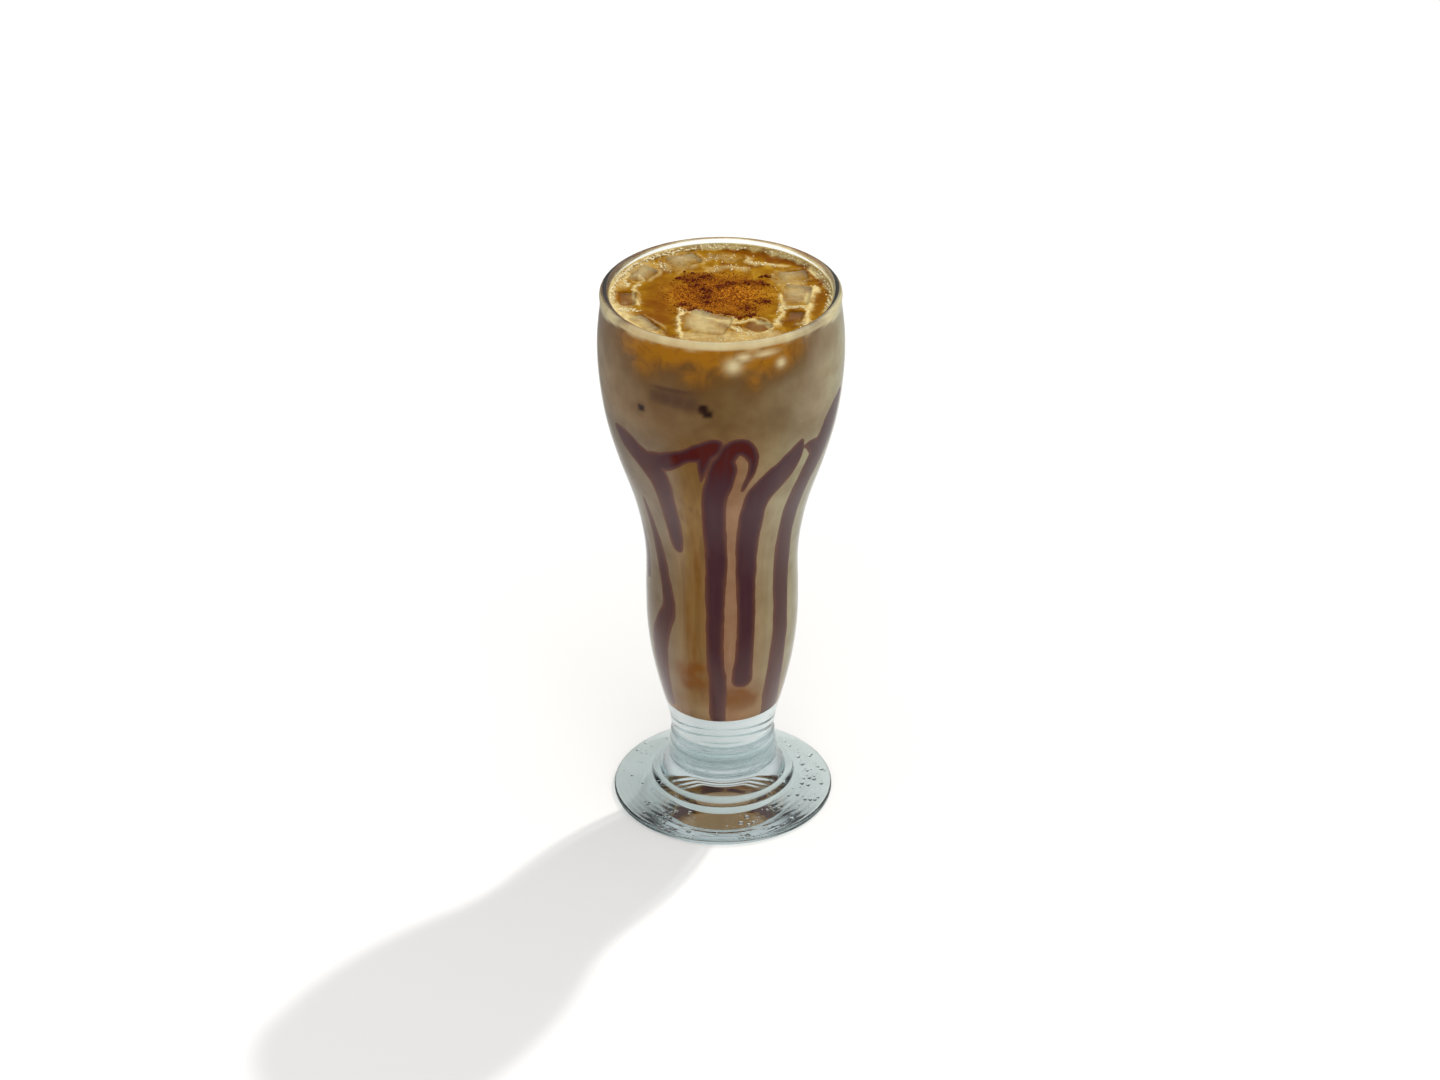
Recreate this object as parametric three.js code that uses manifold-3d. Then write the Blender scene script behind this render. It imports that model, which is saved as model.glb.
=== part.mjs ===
// Iced coffee in its footed glass: a pressed-glass foot and stem, a waisted bowl,
// the coffee that fills it, and the ice cubes that break the coffee's surface.
// Millimetres, +Z up. The origin is the centre of the foot's underside.
import * as THREE from 'three';
import { mergeVertices } from 'three/addons/utils/BufferGeometryUtils.js';
import Module from 'manifold-3d';

// Driving dimensions of the foot.
const FOOT_RADIUS = 38.1;
const FOOT_EDGE_RADIUS = 1.1;
const FOOT_EDGE_TURN = 80;
const REST_RING_INNER = 22;
const PUNT_HEIGHT = 3.4;
// The hollow underside, as shares of the rest ring's inner radius and of the hollow's height.
const PUNT_SHAPE = [
  [0, 1],
  [0.25, 0.97],
  [0.4, 0.82],
  [0.7, 0.4],
  [1, 0],
];

// The dome under the stem: its toe on the foot, its round edge and the shoulder where the stem starts.
const DOME_TOE_RADIUS = 26.4;
const DOME_TOE_Z = 6.3;
const DOME_EDGE_RADIUS = 4.2;
const DOME_EDGE_CENTRE = 21;
const DOME_EDGE_Z = 5;
const DOME_EDGE_START = 24;
const DOME_EDGE_TURN = 65;
const DOME_SHOULDER_RADIUS = 21.6;
const DOME_SHOULDER_Z = 9.6;

// The stem: three low rings pressed into the glass between the dome and the neck.
const STEM_BASE_Z = 14.4;
const STEM_BASE_RADIUS = 18.7;
const STEM_TOP_Z = 26;
const STEM_TOP_RADIUS = 17.4;
const STEM_RINGS = 3;
const STEM_RING_RELIEF = 0.45;
const NECK_GROOVE_RADIUS = 17.2;
const NECK_GROOVE_Z = 26.7;

// The bowl's outside, from the neck up to just under the lip, as [height, radius].
const BOWL_OUTSIDE = [
  [28, 17.95],
  [35, 19.25],
  [46, 22.1],
  [58, 24.5],
  [70, 25.75],
  [82, 25.95],
  [96, 25.85],
  [108, 27.2],
  [120, 29.95],
  [136, 35.1],
  [150, 38.7],
  [165, 40.65],
  [178, 40.9],
  [190, 39.7],
];

// The lip and the wall's thickness, which grows from the lip down to the floor.
const RIM_RADIUS = 39.9;
const LIP_RADIUS = 1.55;
const HEIGHT = 194.5;
const WALL_AT_LIP = 3.05;
const WALL_AT_FLOOR = 3.9;
const FLOOR_Z = 37.4;
const FLOOR_CORNER = 5;

// The coffee, and the clearance that keeps neighbouring solids apart.
const LEVEL_Z = 191.3;
const MENISCUS_RISE = 0.6;
const MENISCUS_WIDTH = 1.4;
const MENISCUS_FOOT = 0.2;
const CLEARANCE = 0.3;

// The ice: each cube's middle, turn and lean in degrees, sides, and its top's height above the coffee.
const ICE = [
  { at: [-4.6, -19.6], turn: -16, lean: [3, 5], sides: [16, 15, 17], above: 1.4 },
  { at: [-24.6, -19.1], turn: 38, lean: [3, -3], sides: [6.6, 13.5, 14], above: 0.9 },
  { at: [24.8, 0.6], turn: -6, lean: [2, 3], sides: [10.5, 14.5, 16], above: 1.1 },
  { at: [23.8, 15.2], turn: 16, lean: [-3, 2], sides: [11.5, 8.2, 15], above: 0.9 },
  { at: [-30.6, -1.2], turn: 2, lean: [2, -2], sides: [7, 11, 14], above: 0.7 },
  { at: [-12.4, 26.6], turn: 25, lean: [-3, 3], sides: [12.5, 9, 14], above: 1.2 },
  { at: [-26, 16.4], turn: -33, lean: [3, 3], sides: [7.8, 11.6, 14], above: 1.4 },
  { at: [12.2, -21], turn: 44, lean: [1, -2], sides: [8.8, 9.2, 13], above: 0.6 },
  { at: [23.8, -14.4], turn: -13, lean: [-2, 2], sides: [7.4, 9.2, 13], above: 0.5 },
];
const ICE_CORNER = 1.7;
const ICE_TAPER = 0.1;
// How deep melting has worn the faces, and how fast its waves run along each axis, in radians per mm.
const ICE_MELT = 0.35;
const MELT_WAVES = [0.31, 0.27, 0.23];
const MELT_PHASE_STEP = 1.7;

// How finely round shapes are divided.
const AROUND = 48;
const OUTSIDE_STEPS = 15;
const INSIDE_STEPS = 11;
const RING_STEPS = 3;
const CORNER_STEPS = 3;
const EDGE_STEPS = 4;
const LIP_STEPS = 6;
const ICE_DIVISIONS = 3;

const wasm = await Module();
wasm.setup();

// Points on a round arc between two angles in degrees, anticlockwise from the +radius direction.
function arc(centreRadius, centreZ, radius, from, to, steps) {
  const points = [];
  for (let i = 0; i <= steps; i++) {
    const angle = THREE.MathUtils.degToRad(from + ((to - from) * i) / steps);
    const along = radius * Math.cos(angle);
    points.push(new THREE.Vector2(centreRadius + along, centreZ + radius * Math.sin(angle)));
  }
  return points;
}

const outside = new THREE.SplineCurve(BOWL_OUTSIDE.map(([z, radius]) => new THREE.Vector2(radius, z)));

// The bowl's outer radius at a height, found on the curve by halving.
function outerRadius(z) {
  let low = 0;
  let high = 1;
  for (let i = 0; i < 40; i++) {
    const middle = (low + high) / 2;
    if (outside.getPoint(middle).y < z) low = middle;
    else high = middle;
  }
  return outside.getPoint(low).x;
}

// The bowl's inner radius at a height.
function innerRadius(z) {
  const share = (z - FLOOR_Z) / (HEIGHT - FLOOR_Z);
  return outerRadius(z) - THREE.MathUtils.lerp(WALL_AT_FLOOR, WALL_AT_LIP, share);
}

// The inside of the bowl from the middle of its floor up to a height, drawn in by a clearance.
function insideProfile(topZ, inset) {
  const cornerTopZ = FLOOR_Z + FLOOR_CORNER;
  const cornerCentre = innerRadius(cornerTopZ) - FLOOR_CORNER;
  const points = [new THREE.Vector2(0, FLOOR_Z + inset)];
  points.push(...arc(cornerCentre, cornerTopZ, FLOOR_CORNER - inset, -90, 0, CORNER_STEPS));
  for (let i = 1; i <= INSIDE_STEPS; i++) {
    const z = THREE.MathUtils.lerp(cornerTopZ, topZ, i / INSIDE_STEPS);
    points.push(new THREE.Vector2(innerRadius(z) - inset, z));
  }
  return points;
}

// The foot from the middle of its hollow underside out round its edge and over the dome.
function footProfile() {
  const edgeCentre = FOOT_RADIUS - FOOT_EDGE_RADIUS;
  return [
    ...PUNT_SHAPE.map(([out, up]) => new THREE.Vector2(REST_RING_INNER * out, PUNT_HEIGHT * up)),
    ...arc(edgeCentre, FOOT_EDGE_RADIUS, FOOT_EDGE_RADIUS, -90, FOOT_EDGE_TURN, EDGE_STEPS),
    new THREE.Vector2(DOME_TOE_RADIUS, DOME_TOE_Z),
    ...arc(
      DOME_EDGE_CENTRE,
      DOME_EDGE_Z,
      DOME_EDGE_RADIUS,
      DOME_EDGE_START,
      DOME_EDGE_TURN,
      CORNER_STEPS,
    ),
    new THREE.Vector2(DOME_SHOULDER_RADIUS, DOME_SHOULDER_Z),
  ];
}

// The stem's rings, each a low bulge between two grooves, and the groove that parts them from the neck.
function stemProfile() {
  const points = [];
  const steps = STEM_RINGS * RING_STEPS;
  for (let i = 0; i <= steps; i++) {
    const share = i / steps;
    const bulge = STEM_RING_RELIEF * Math.sin(Math.PI * ((i % RING_STEPS) / RING_STEPS)) ** 2;
    const radius = THREE.MathUtils.lerp(STEM_BASE_RADIUS, STEM_TOP_RADIUS, share) + bulge;
    points.push(new THREE.Vector2(radius, THREE.MathUtils.lerp(STEM_BASE_Z, STEM_TOP_Z, share)));
  }
  points.push(new THREE.Vector2(NECK_GROOVE_RADIUS, NECK_GROOVE_Z));
  return points;
}

// The bowl's outside from the neck to just under the lip.
function bowlProfile() {
  return outside.getPoints(OUTSIDE_STEPS);
}

// A lathe turned to stand along Z.
function turned(profile) {
  return new THREE.LatheGeometry(profile, AROUND).rotateX(Math.PI / 2);
}

function glassGeometry() {
  const lipCentre = RIM_RADIUS - LIP_RADIUS;
  const lip = arc(lipCentre, HEIGHT - LIP_RADIUS, LIP_RADIUS, 0, 180, LIP_STEPS);
  const inside = insideProfile(HEIGHT - 2 * LIP_RADIUS, 0).reverse();
  return turned([...footProfile(), ...stemProfile(), ...bowlProfile(), ...lip, ...inside]);
}

function coffeeGeometry() {
  const wall = insideProfile(LEVEL_Z + MENISCUS_RISE, CLEARANCE);
  const wallTop = wall[wall.length - 1].x;
  return turned([
    ...wall,
    new THREE.Vector2(wallTop - MENISCUS_WIDTH / 2, LEVEL_Z + MENISCUS_RISE * MENISCUS_FOOT),
    new THREE.Vector2(wallTop - MENISCUS_WIDTH, LEVEL_Z),
    new THREE.Vector2(0, LEVEL_Z),
  ]);
}

// A cube with melted corners and slightly uneven faces, narrower at its foot than at its top.
function iceGeometry([width, depth, height], phase, grow) {
  const [waveX, waveY, waveZ] = MELT_WAVES;
  const half = new THREE.Vector3(width, depth, height).multiplyScalar(0.5).addScalar(grow);
  const corner = ICE_CORNER + grow;
  const geometry = new THREE.BoxGeometry(2, 2, 2, ICE_DIVISIONS, ICE_DIVISIONS, ICE_DIVISIONS);
  const position = geometry.getAttribute('position');
  const point = new THREE.Vector3();
  const core = new THREE.Vector3();
  for (let i = 0; i < position.count; i++) {
    point.fromBufferAttribute(position, i);
    for (const axis of ['x', 'y', 'z']) {
      const side = Math.sign(point[axis]);
      core[axis] = side * (half[axis] - corner);
      point[axis] = side * (Math.abs(point[axis]) > 0.9 ? half[axis] : half[axis] - corner);
    }
    point.sub(core).setLength(corner).add(core);
    const along = Math.sin(phase + point.x * waveX + point.z * waveZ);
    const melt = ICE_MELT * along * Math.cos(phase + point.y * waveY);
    const taper = 1 - ICE_TAPER * (0.5 - point.z / height / 2);
    position.setXYZ(i, point.x * taper + melt, point.y * taper - melt, point.z);
  }
  return geometry;
}

// A mesh's geometry as a solid, moved to where the mesh stands.
function solidOf(mesh) {
  mesh.updateMatrixWorld(true);
  const geometry = mesh.geometry.clone().applyMatrix4(mesh.matrixWorld);
  geometry.deleteAttribute('normal');
  geometry.deleteAttribute('uv');
  const merged = mergeVertices(geometry, 1e-3);
  return new wasm.Manifold(
    new wasm.Mesh({
      numProp: 3,
      vertProperties: merged.getAttribute('position').array,
      triVerts: new Uint32Array(merged.index.array),
    }),
  );
}

function geometryOf(solid) {
  const mesh = solid.getMesh();
  const geometry = new THREE.BufferGeometry();
  geometry.setAttribute('position', new THREE.BufferAttribute(mesh.vertProperties, 3));
  geometry.setIndex(new THREE.BufferAttribute(mesh.triVerts, 1));
  geometry.computeVertexNormals();
  return geometry;
}

// One cube in its place, or, grown by the clearance, the pit it takes up in the coffee.
function iceMesh(piece, index, grow, material) {
  const { at, turn, lean, sides, above } = piece;
  const mesh = new THREE.Mesh(iceGeometry(sides, index * MELT_PHASE_STEP, grow), material);
  mesh.name = `ice_${index + 1}`;
  mesh.position.set(at[0], at[1], LEVEL_Z + above - sides[2] / 2);
  mesh.rotation.set(...lean.map(THREE.MathUtils.degToRad), THREE.MathUtils.degToRad(turn), 'ZYX');
  return mesh;
}

const glassMaterial = new THREE.MeshStandardMaterial({
  color: 0xdcebea,
  roughness: 0.03,
  metalness: 0,
  transparent: true,
  opacity: 0.35,
});
const coffeeMaterial = new THREE.MeshStandardMaterial({ color: 0x94754f, roughness: 0.3, metalness: 0 });
const iceMaterial = new THREE.MeshStandardMaterial({ color: 0xd8d3c2, roughness: 0.1, metalness: 0 });

const icedCoffee = new THREE.Group();

const glass = new THREE.Mesh(glassGeometry(), glassMaterial);
glass.name = 'glass';
icedCoffee.add(glass);

let coffeeSolid = solidOf(new THREE.Mesh(coffeeGeometry(), coffeeMaterial));
ICE.forEach((piece, index) => {
  icedCoffee.add(iceMesh(piece, index, 0, iceMaterial));
  coffeeSolid = coffeeSolid.subtract(solidOf(iceMesh(piece, index, CLEARANCE, iceMaterial)));
});

const coffee = new THREE.Mesh(geometryOf(coffeeSolid), coffeeMaterial);
coffee.name = 'coffee';
icedCoffee.add(coffee);

export default icedCoffee;
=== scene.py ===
import math
import random

import bmesh
import bpy
import numpy as np
from mathutils import Euler, Matrix, Vector, noise


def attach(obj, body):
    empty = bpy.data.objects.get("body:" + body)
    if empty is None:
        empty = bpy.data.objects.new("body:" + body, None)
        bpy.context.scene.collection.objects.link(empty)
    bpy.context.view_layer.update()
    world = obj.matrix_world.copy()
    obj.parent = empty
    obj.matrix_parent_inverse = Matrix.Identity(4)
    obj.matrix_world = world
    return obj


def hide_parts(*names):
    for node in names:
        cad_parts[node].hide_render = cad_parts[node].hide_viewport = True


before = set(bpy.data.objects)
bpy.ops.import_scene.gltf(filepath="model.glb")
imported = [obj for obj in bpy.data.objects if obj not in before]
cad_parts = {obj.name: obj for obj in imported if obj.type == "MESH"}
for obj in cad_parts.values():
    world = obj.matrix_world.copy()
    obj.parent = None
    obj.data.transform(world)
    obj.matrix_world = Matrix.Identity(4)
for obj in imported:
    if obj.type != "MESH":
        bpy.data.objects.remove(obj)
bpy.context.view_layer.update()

# The glass: one piece of clear soda-lime, pressed in a mould and fire polished. A round foot with a
# hollow underside carries a dome, three low rings, a solid neck and the waisted bowl with its rolled lip.
MM = 0.001
HEIGHT = 194.5
FOOT_RADIUS = 38.1
FOOT_EDGE_RADIUS = 1.1
FOOT_EDGE_TURN = 80
REST_RING_INNER = 22
PUNT_HEIGHT = 3.4
PUNT_SHAPE = [(0, 1), (0.25, 0.97), (0.4, 0.82), (0.7, 0.4), (1, 0)]
REST_RING_SOFT = 0.2
# The plate round the dome bulges a little and carries fine rings from the turned mould.
PLATE_BULGE = 0.1
TURNING_LENGTH = 1.7
TURNING_HEIGHT = 0.006
DOME_TOE = (26.4, 6.3)
DOME_EDGE_RADIUS = 4.2
DOME_EDGE_CENTRE = (21, 5)
DOME_EDGE_START = 24
DOME_EDGE_TURN = 65
DOME_SHOULDER = (21.6, 9.6)
STEM_BASE = (18.7, 14.4)
STEM_TOP = (17.4, 26)
STEM_RINGS = 3
STEM_RING_RELIEF = 0.45
NECK_GROOVE = [(17.25, 26.8), (17.6, 27.5)]
BOWL_OUTSIDE = [
    (17.95, 28), (19.25, 35), (22.1, 46), (24.5, 58), (25.75, 70), (25.95, 82), (25.85, 96),
    (27.2, 108), (29.95, 120), (35.1, 136), (38.7, 150), (40.65, 165), (40.9, 178), (39.7, 190),
]
RIM_RADIUS = 39.9
LIP_RADIUS = 1.55
WALL_AT_LIP = 3.05
WALL_AT_FLOOR = 3.9
FLOOR_Z = 37.4
FLOOR_CORNER = 5
# How finely the glass is cut up: its steps round, and along each stretch of its outline.
GLASS_AROUND = 216
PUNT_STEPS = 6
FOOT_EDGE_STEPS = 14
PLATE_STEPS = 44
DOME_EDGE_STEPS = 7
DOME_STEPS = 4
STEM_RING_STEPS = 12
BOWL_STEPS = 12
LIP_STEPS = 20
WALL_STEPS = 90
CORNER_STEPS = 10
FLOOR_STEPS = 12


def arc(centre, radius, start, end, steps):
    """Points on a round arc between two angles in degrees."""
    angles = [math.radians(start + (end - start) * i / steps) for i in range(steps + 1)]
    return [(centre[0] + radius * math.cos(a), centre[1] + radius * math.sin(a)) for a in angles]


def smooth_line(points, steps):
    """A smooth curve through points, with that many steps between each two."""
    points = np.asarray(points, float)
    padded = np.vstack([points[:1], points, points[-1:]])
    shares = np.linspace(0, 1, steps, endpoint=False)[:, None]
    line = []
    for before, start, end, after in zip(padded, padded[1:], padded[2:], padded[3:]):
        leave = (end - before) / 2
        arrive = (after - start) / 2
        cubic = (2 * start - 2 * end + leave + arrive) * shares**3
        square = (-3 * start + 3 * end - 2 * leave - arrive) * shares**2
        line.append(cubic + square + leave * shares + start)
    return np.vstack(line + [points[-1:]])


bowl_line = smooth_line(BOWL_OUTSIDE, BOWL_STEPS)


def inner_radius(z):
    """The radius of the bowl's inside at a height."""
    wall = np.interp(z, [FLOOR_Z, HEIGHT], [WALL_AT_FLOOR, WALL_AT_LIP])
    return np.interp(z, bowl_line[:, 1], bowl_line[:, 0]) - wall


def inside_outline(top_z, steps, into_wall):
    """The bowl's inside as (radius, height) points, from the middle of its floor up to a height."""
    corner_z = FLOOR_Z + FLOOR_CORNER
    centre = (float(inner_radius(corner_z)) - FLOOR_CORNER, corner_z)
    outline = [(centre[0] * i / FLOOR_STEPS, FLOOR_Z - into_wall) for i in range(FLOOR_STEPS)]
    outline += arc(centre, FLOOR_CORNER + into_wall, -90, 0, CORNER_STEPS)
    for z in np.linspace(corner_z, top_z, steps + 1)[1:]:
        outline.append((float(inner_radius(z)) + into_wall, float(z)))
    return outline


def foot_outline():
    """The foot from the middle of its underside over its edge and the dome to the stem."""
    punt = smooth_line([(REST_RING_INNER * out, PUNT_HEIGHT * up) for out, up in PUNT_SHAPE], PUNT_STEPS)
    edge_centre = (FOOT_RADIUS - FOOT_EDGE_RADIUS, FOOT_EDGE_RADIUS)
    rest_ring = [(REST_RING_INNER + REST_RING_SOFT, 0), (edge_centre[0] - REST_RING_SOFT, 0)]
    edge = arc(edge_centre, FOOT_EDGE_RADIUS, -90, FOOT_EDGE_TURN, FOOT_EDGE_STEPS)
    plate = []
    for i in range(1, PLATE_STEPS):
        radius = edge[-1][0] + (DOME_TOE[0] - edge[-1][0]) * i / PLATE_STEPS
        height = edge[-1][1] + (DOME_TOE[1] - edge[-1][1]) * i / PLATE_STEPS
        height += PLATE_BULGE * math.sin(math.pi * i / PLATE_STEPS)
        plate.append((radius, height + TURNING_HEIGHT * math.sin(2 * math.pi * radius / TURNING_LENGTH)))
    dome_edge = arc(DOME_EDGE_CENTRE, DOME_EDGE_RADIUS, DOME_EDGE_START, DOME_EDGE_TURN, DOME_EDGE_STEPS)
    dome = smooth_line([DOME_TOE] + dome_edge + [DOME_SHOULDER, STEM_BASE], DOME_STEPS)
    return [tuple(p) for p in punt] + rest_ring + edge + plate + [tuple(p) for p in dome]


def stem_outline():
    """The three low rings, each a soft bulge between two grooves."""
    outline = []
    steps = STEM_RINGS * STEM_RING_STEPS
    for i in range(1, steps + 1):
        share = i / steps
        bulge = STEM_RING_RELIEF * math.sin(math.pi * (i % STEM_RING_STEPS) / STEM_RING_STEPS) ** 2
        radius = STEM_BASE[0] + (STEM_TOP[0] - STEM_BASE[0]) * share + bulge
        outline.append((radius, STEM_BASE[1] + (STEM_TOP[1] - STEM_BASE[1]) * share))
    return outline


def turned(outline, around):
    """Points and faces of an outline of (radius, height) turned round the axis; its ends lie on the axis."""
    angles = np.linspace(0, 2 * math.pi, around, endpoint=False)
    rings = []
    for radius, height in outline[1:-1]:
        to_right = radius * np.sin(angles)
        to_back = -radius * np.cos(angles)
        rings.append(np.column_stack([to_right, to_back, np.full(around, height)]))
    points = np.vstack([[(0, 0, outline[0][1])], *rings, [(0, 0, outline[-1][1])]])
    faces = []
    last = len(points) - 1
    for i in range(around):
        j = (i + 1) % around
        faces.append((0, 1 + j, 1 + i))
        for ring in range(len(rings) - 1):
            low = 1 + ring * around
            faces.append((low + i, low + j, low + around + j, low + around + i))
        low = last - around
        faces.append((low + i, low + j, last))
    return points, faces


def new_piece(name, points, faces, materials, smooth=True, replaced=(), values=None):
    """A mesh piece of the drink from points in millimetres; values holds a number for each point by name."""
    mesh = bpy.data.meshes.new(name)
    mesh.from_pydata((np.asarray(points) * MM).tolist(), [], faces)
    mesh.validate()
    mesh.shade_smooth() if smooth else mesh.shade_flat()
    for key, numbers in (values or {}).items():
        attribute = mesh.attributes.new(key, "FLOAT", "POINT")
        attribute.data.foreach_set("value", np.asarray(numbers, np.float32))
    for material in materials:
        mesh.materials.append(material)
    piece = bpy.data.objects.new(name, mesh)
    bpy.context.scene.collection.objects.link(piece)
    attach(piece, "root")
    if replaced:
        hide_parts(*replaced)
    return piece


def linear(colour):
    """A colour written as sRGB hex, as linear values with an alpha of 1."""
    shares = [int(colour[i:i + 2], 16) / 255 for i in (1, 3, 5)]
    return [s / 12.92 if s <= 0.04045 else ((s + 0.055) / 1.055) ** 2.4 for s in shares] + [1.0]


def add_node(tree, kind, inputs={}, stops=(), **settings):
    """Adds a node to a tree.

    inputs goes by a socket's name, or by its number where names repeat, and holds values, hex colours or
    other nodes' outputs. stops holds a colour ramp's places and colours: its two ends, then the rest.
    """
    node = tree.nodes.new(kind)
    for key, value in settings.items():
        setattr(node, key, value)
    for key, value in inputs.items():
        if isinstance(value, bpy.types.NodeSocket):
            tree.links.new(value, node.inputs[key])
        else:
            node.inputs[key].default_value = linear(value) if isinstance(value, str) else value
    for index, (place, colour) in enumerate(stops):
        ramp = node.color_ramp.elements
        stop = ramp[index] if index < 2 else ramp.new(place)
        stop.position = place
        stop.color = linear(colour) if isinstance(colour, str) else [colour] * 3 + [1]
    return node


def new_material(name):
    """An empty node material and its tree."""
    material = bpy.data.materials.new(name)
    material.use_nodes = True
    material.node_tree.nodes.clear()
    return material, material.node_tree


def pass_light(tree, skin, clear_colour):
    """A clear piece's skin that lets shadow rays and light scattered by matt pieces straight through."""
    light_path = add_node(tree, "ShaderNodeLightPath")
    clear = add_node(tree, "ShaderNodeBsdfTransparent", {"Color": clear_colour})
    for_scattered = add_node(tree, "ShaderNodeMixShader", {
        0: light_path.outputs["Is Diffuse Ray"], 1: skin.outputs[0], 2: clear.outputs[0],
    })
    for_shadows = add_node(tree, "ShaderNodeMixShader", {
        0: light_path.outputs["Is Shadow Ray"], 1: for_scattered.outputs[0], 2: clear.outputs[0],
    })
    return for_shadows.outputs[0]


# Fire-polished soda-lime glass: clear, with a blue-green tint where it is thick. The mould and the gob
# leave long low waves, about 14 mm from crest to crest, which bend what is seen through the wall. They are
# weakest on the foot and grow to their full height up the stem.
GLASS_WAVE = 14
WAVES_ON_FOOT = 0.15
WAVES_GROW = (14, 40)
glass_material, tree = new_material("fire_polished_soda_lime_glass")
place = add_node(tree, "ShaderNodeTexCoord").outputs["Object"]
waves = add_node(tree, "ShaderNodeTexNoise", {"Vector": place, "Scale": 1 / (GLASS_WAVE * MM), "Detail": 1})
parts = add_node(tree, "ShaderNodeSeparateXYZ", {0: place})
on_bowl = add_node(tree, "ShaderNodeMapRange", {
    "Value": parts.outputs["Z"], "From Min": WAVES_GROW[0] * MM, "From Max": WAVES_GROW[1] * MM,
    "To Min": WAVES_ON_FOOT, "To Max": 1,
})
held = add_node(tree, "ShaderNodeMath", {0: waves.outputs[0], 1: on_bowl.outputs[0]}, operation="MULTIPLY")
bump = add_node(tree, "ShaderNodeBump", {"Height": held.outputs[0], "Strength": 0.15, "Distance": 0.4 * MM})
facing = add_node(tree, "ShaderNodeLayerWeight", {"Blend": 0.5})
# Painted shade: seen edge-on the glass turns grey-teal, standing in for the dark surroundings that real glass
# shows along its outlines.
painted_edge_shade = add_node(tree, "ShaderNodeValToRGB", {0: facing.outputs["Facing"]}, stops=[
    (0.6, "#fbfefd"), (1.0, "#7c8c8c"), (0.82, "#d4dedd"),
])
glass_skin = add_node(tree, "ShaderNodeBsdfPrincipled", {
    "Base Color": painted_edge_shade.outputs[0], "Roughness": 0.0, "IOR": 1.52, "Transmission Weight": 1.0,
    "Normal": bump.outputs[0],
})
shade = add_node(tree, "ShaderNodeValToRGB", {0: facing.outputs["Facing"]}, stops=[
    (0.0, "#f4f8f8"), (1.0, "#4c5556"), (0.55, "#dfe7e7"),
])
surface = pass_light(tree, glass_skin, shade.outputs[0])
tint = add_node(tree, "ShaderNodeVolumeAbsorption", {"Color": "#c0d0d4", "Density": 24.0})
add_node(tree, "ShaderNodeOutputMaterial", {"Surface": surface, "Volume": tint.outputs[0]})

lip_centre = (RIM_RADIUS - LIP_RADIUS, HEIGHT - LIP_RADIUS)
glass_outline = foot_outline() + stem_outline() + NECK_GROOVE
glass_outline += [tuple(p) for p in bowl_line]
glass_outline += arc(lip_centre, LIP_RADIUS, 0, 180, LIP_STEPS)
glass_outline += inside_outline(HEIGHT - 2 * LIP_RADIUS, WALL_STEPS, 0)[::-1]
glass_points, glass_faces = turned(glass_outline, GLASS_AROUND)
new_piece("glass_blown", glass_points, glass_faces, [glass_material], replaced=["glass"])


# The ice: cubes broken small, melted round at their corners, floating at the top with their upper faces just
# out of the coffee. Wet and clear, with a milky core; coffee and cream creep up their sides.
LEVEL_Z = 191.3
ICE = [
    {"at": (-4.6, -19.6), "turn": -16, "lean": (3, 5), "sides": (16, 15, 17), "above": 1.4, "cloud": 0.6},
    {"at": (-24.6, -19.1), "turn": 38, "lean": (3, -3), "sides": (6.6, 13.5, 14), "above": 0.9, "cloud": 0.7},
    {"at": (24.8, 0.6), "turn": -6, "lean": (2, 3), "sides": (10.5, 14.5, 16), "above": 1.1, "cloud": 0.45},
    {"at": (23.8, 15.2), "turn": 16, "lean": (-3, 2), "sides": (11.5, 8.2, 15), "above": 0.9, "cloud": 0.4},
    {"at": (-30.6, -1.2), "turn": 2, "lean": (2, -2), "sides": (7, 11, 14), "above": 0.7, "cloud": 0.1},
    {"at": (-12.4, 26.6), "turn": 25, "lean": (-3, 3), "sides": (12.5, 9, 14), "above": 1.2, "cloud": 0.5},
    {"at": (-26, 16.4), "turn": -33, "lean": (3, 3), "sides": (7.8, 11.6, 14), "above": 1.4, "cloud": 0.7},
    {"at": (12.2, -21), "turn": 44, "lean": (1, -2), "sides": (8.8, 9.2, 13), "above": 0.6, "cloud": 0.1},
    {"at": (23.8, -14.4), "turn": -13, "lean": (-2, 2), "sides": (7.4, 9.2, 13), "above": 0.5, "cloud": 0.1},
]
ICE_CORNER = 2.3
ICE_CORNER_STEPS = (0.2, 0.5, 0.8, 1.0)
ICE_FACE_STEPS = 7
ICE_TAPER = 0.1
ICE_WELD = 0.02
CLEAR_EDGE = 3.0
# Wear by the water: slow waves in the sides, dents in the top and bottom, and a coarser unevenness of the
# sides. Depths are in mm, waves per mm along the cube. The unevenness needs a seed, as Blender's noise
# vectors start from the clock without one and give another shape on each run.
ICE_MELT = 0.35
MELT_WAVES = (0.31, 0.27, 0.23)
MELT_PHASE_STEP = 1.7
DENT_DEPTH = 0.5
DENT_WAVE = 0.22
DENT_PHASE = 9
WEAR_DEPTH = 0.8
WEAR_WAVE = 0.16
WEAR_PHASE = 7
WEAR_SEED = 3

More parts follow.
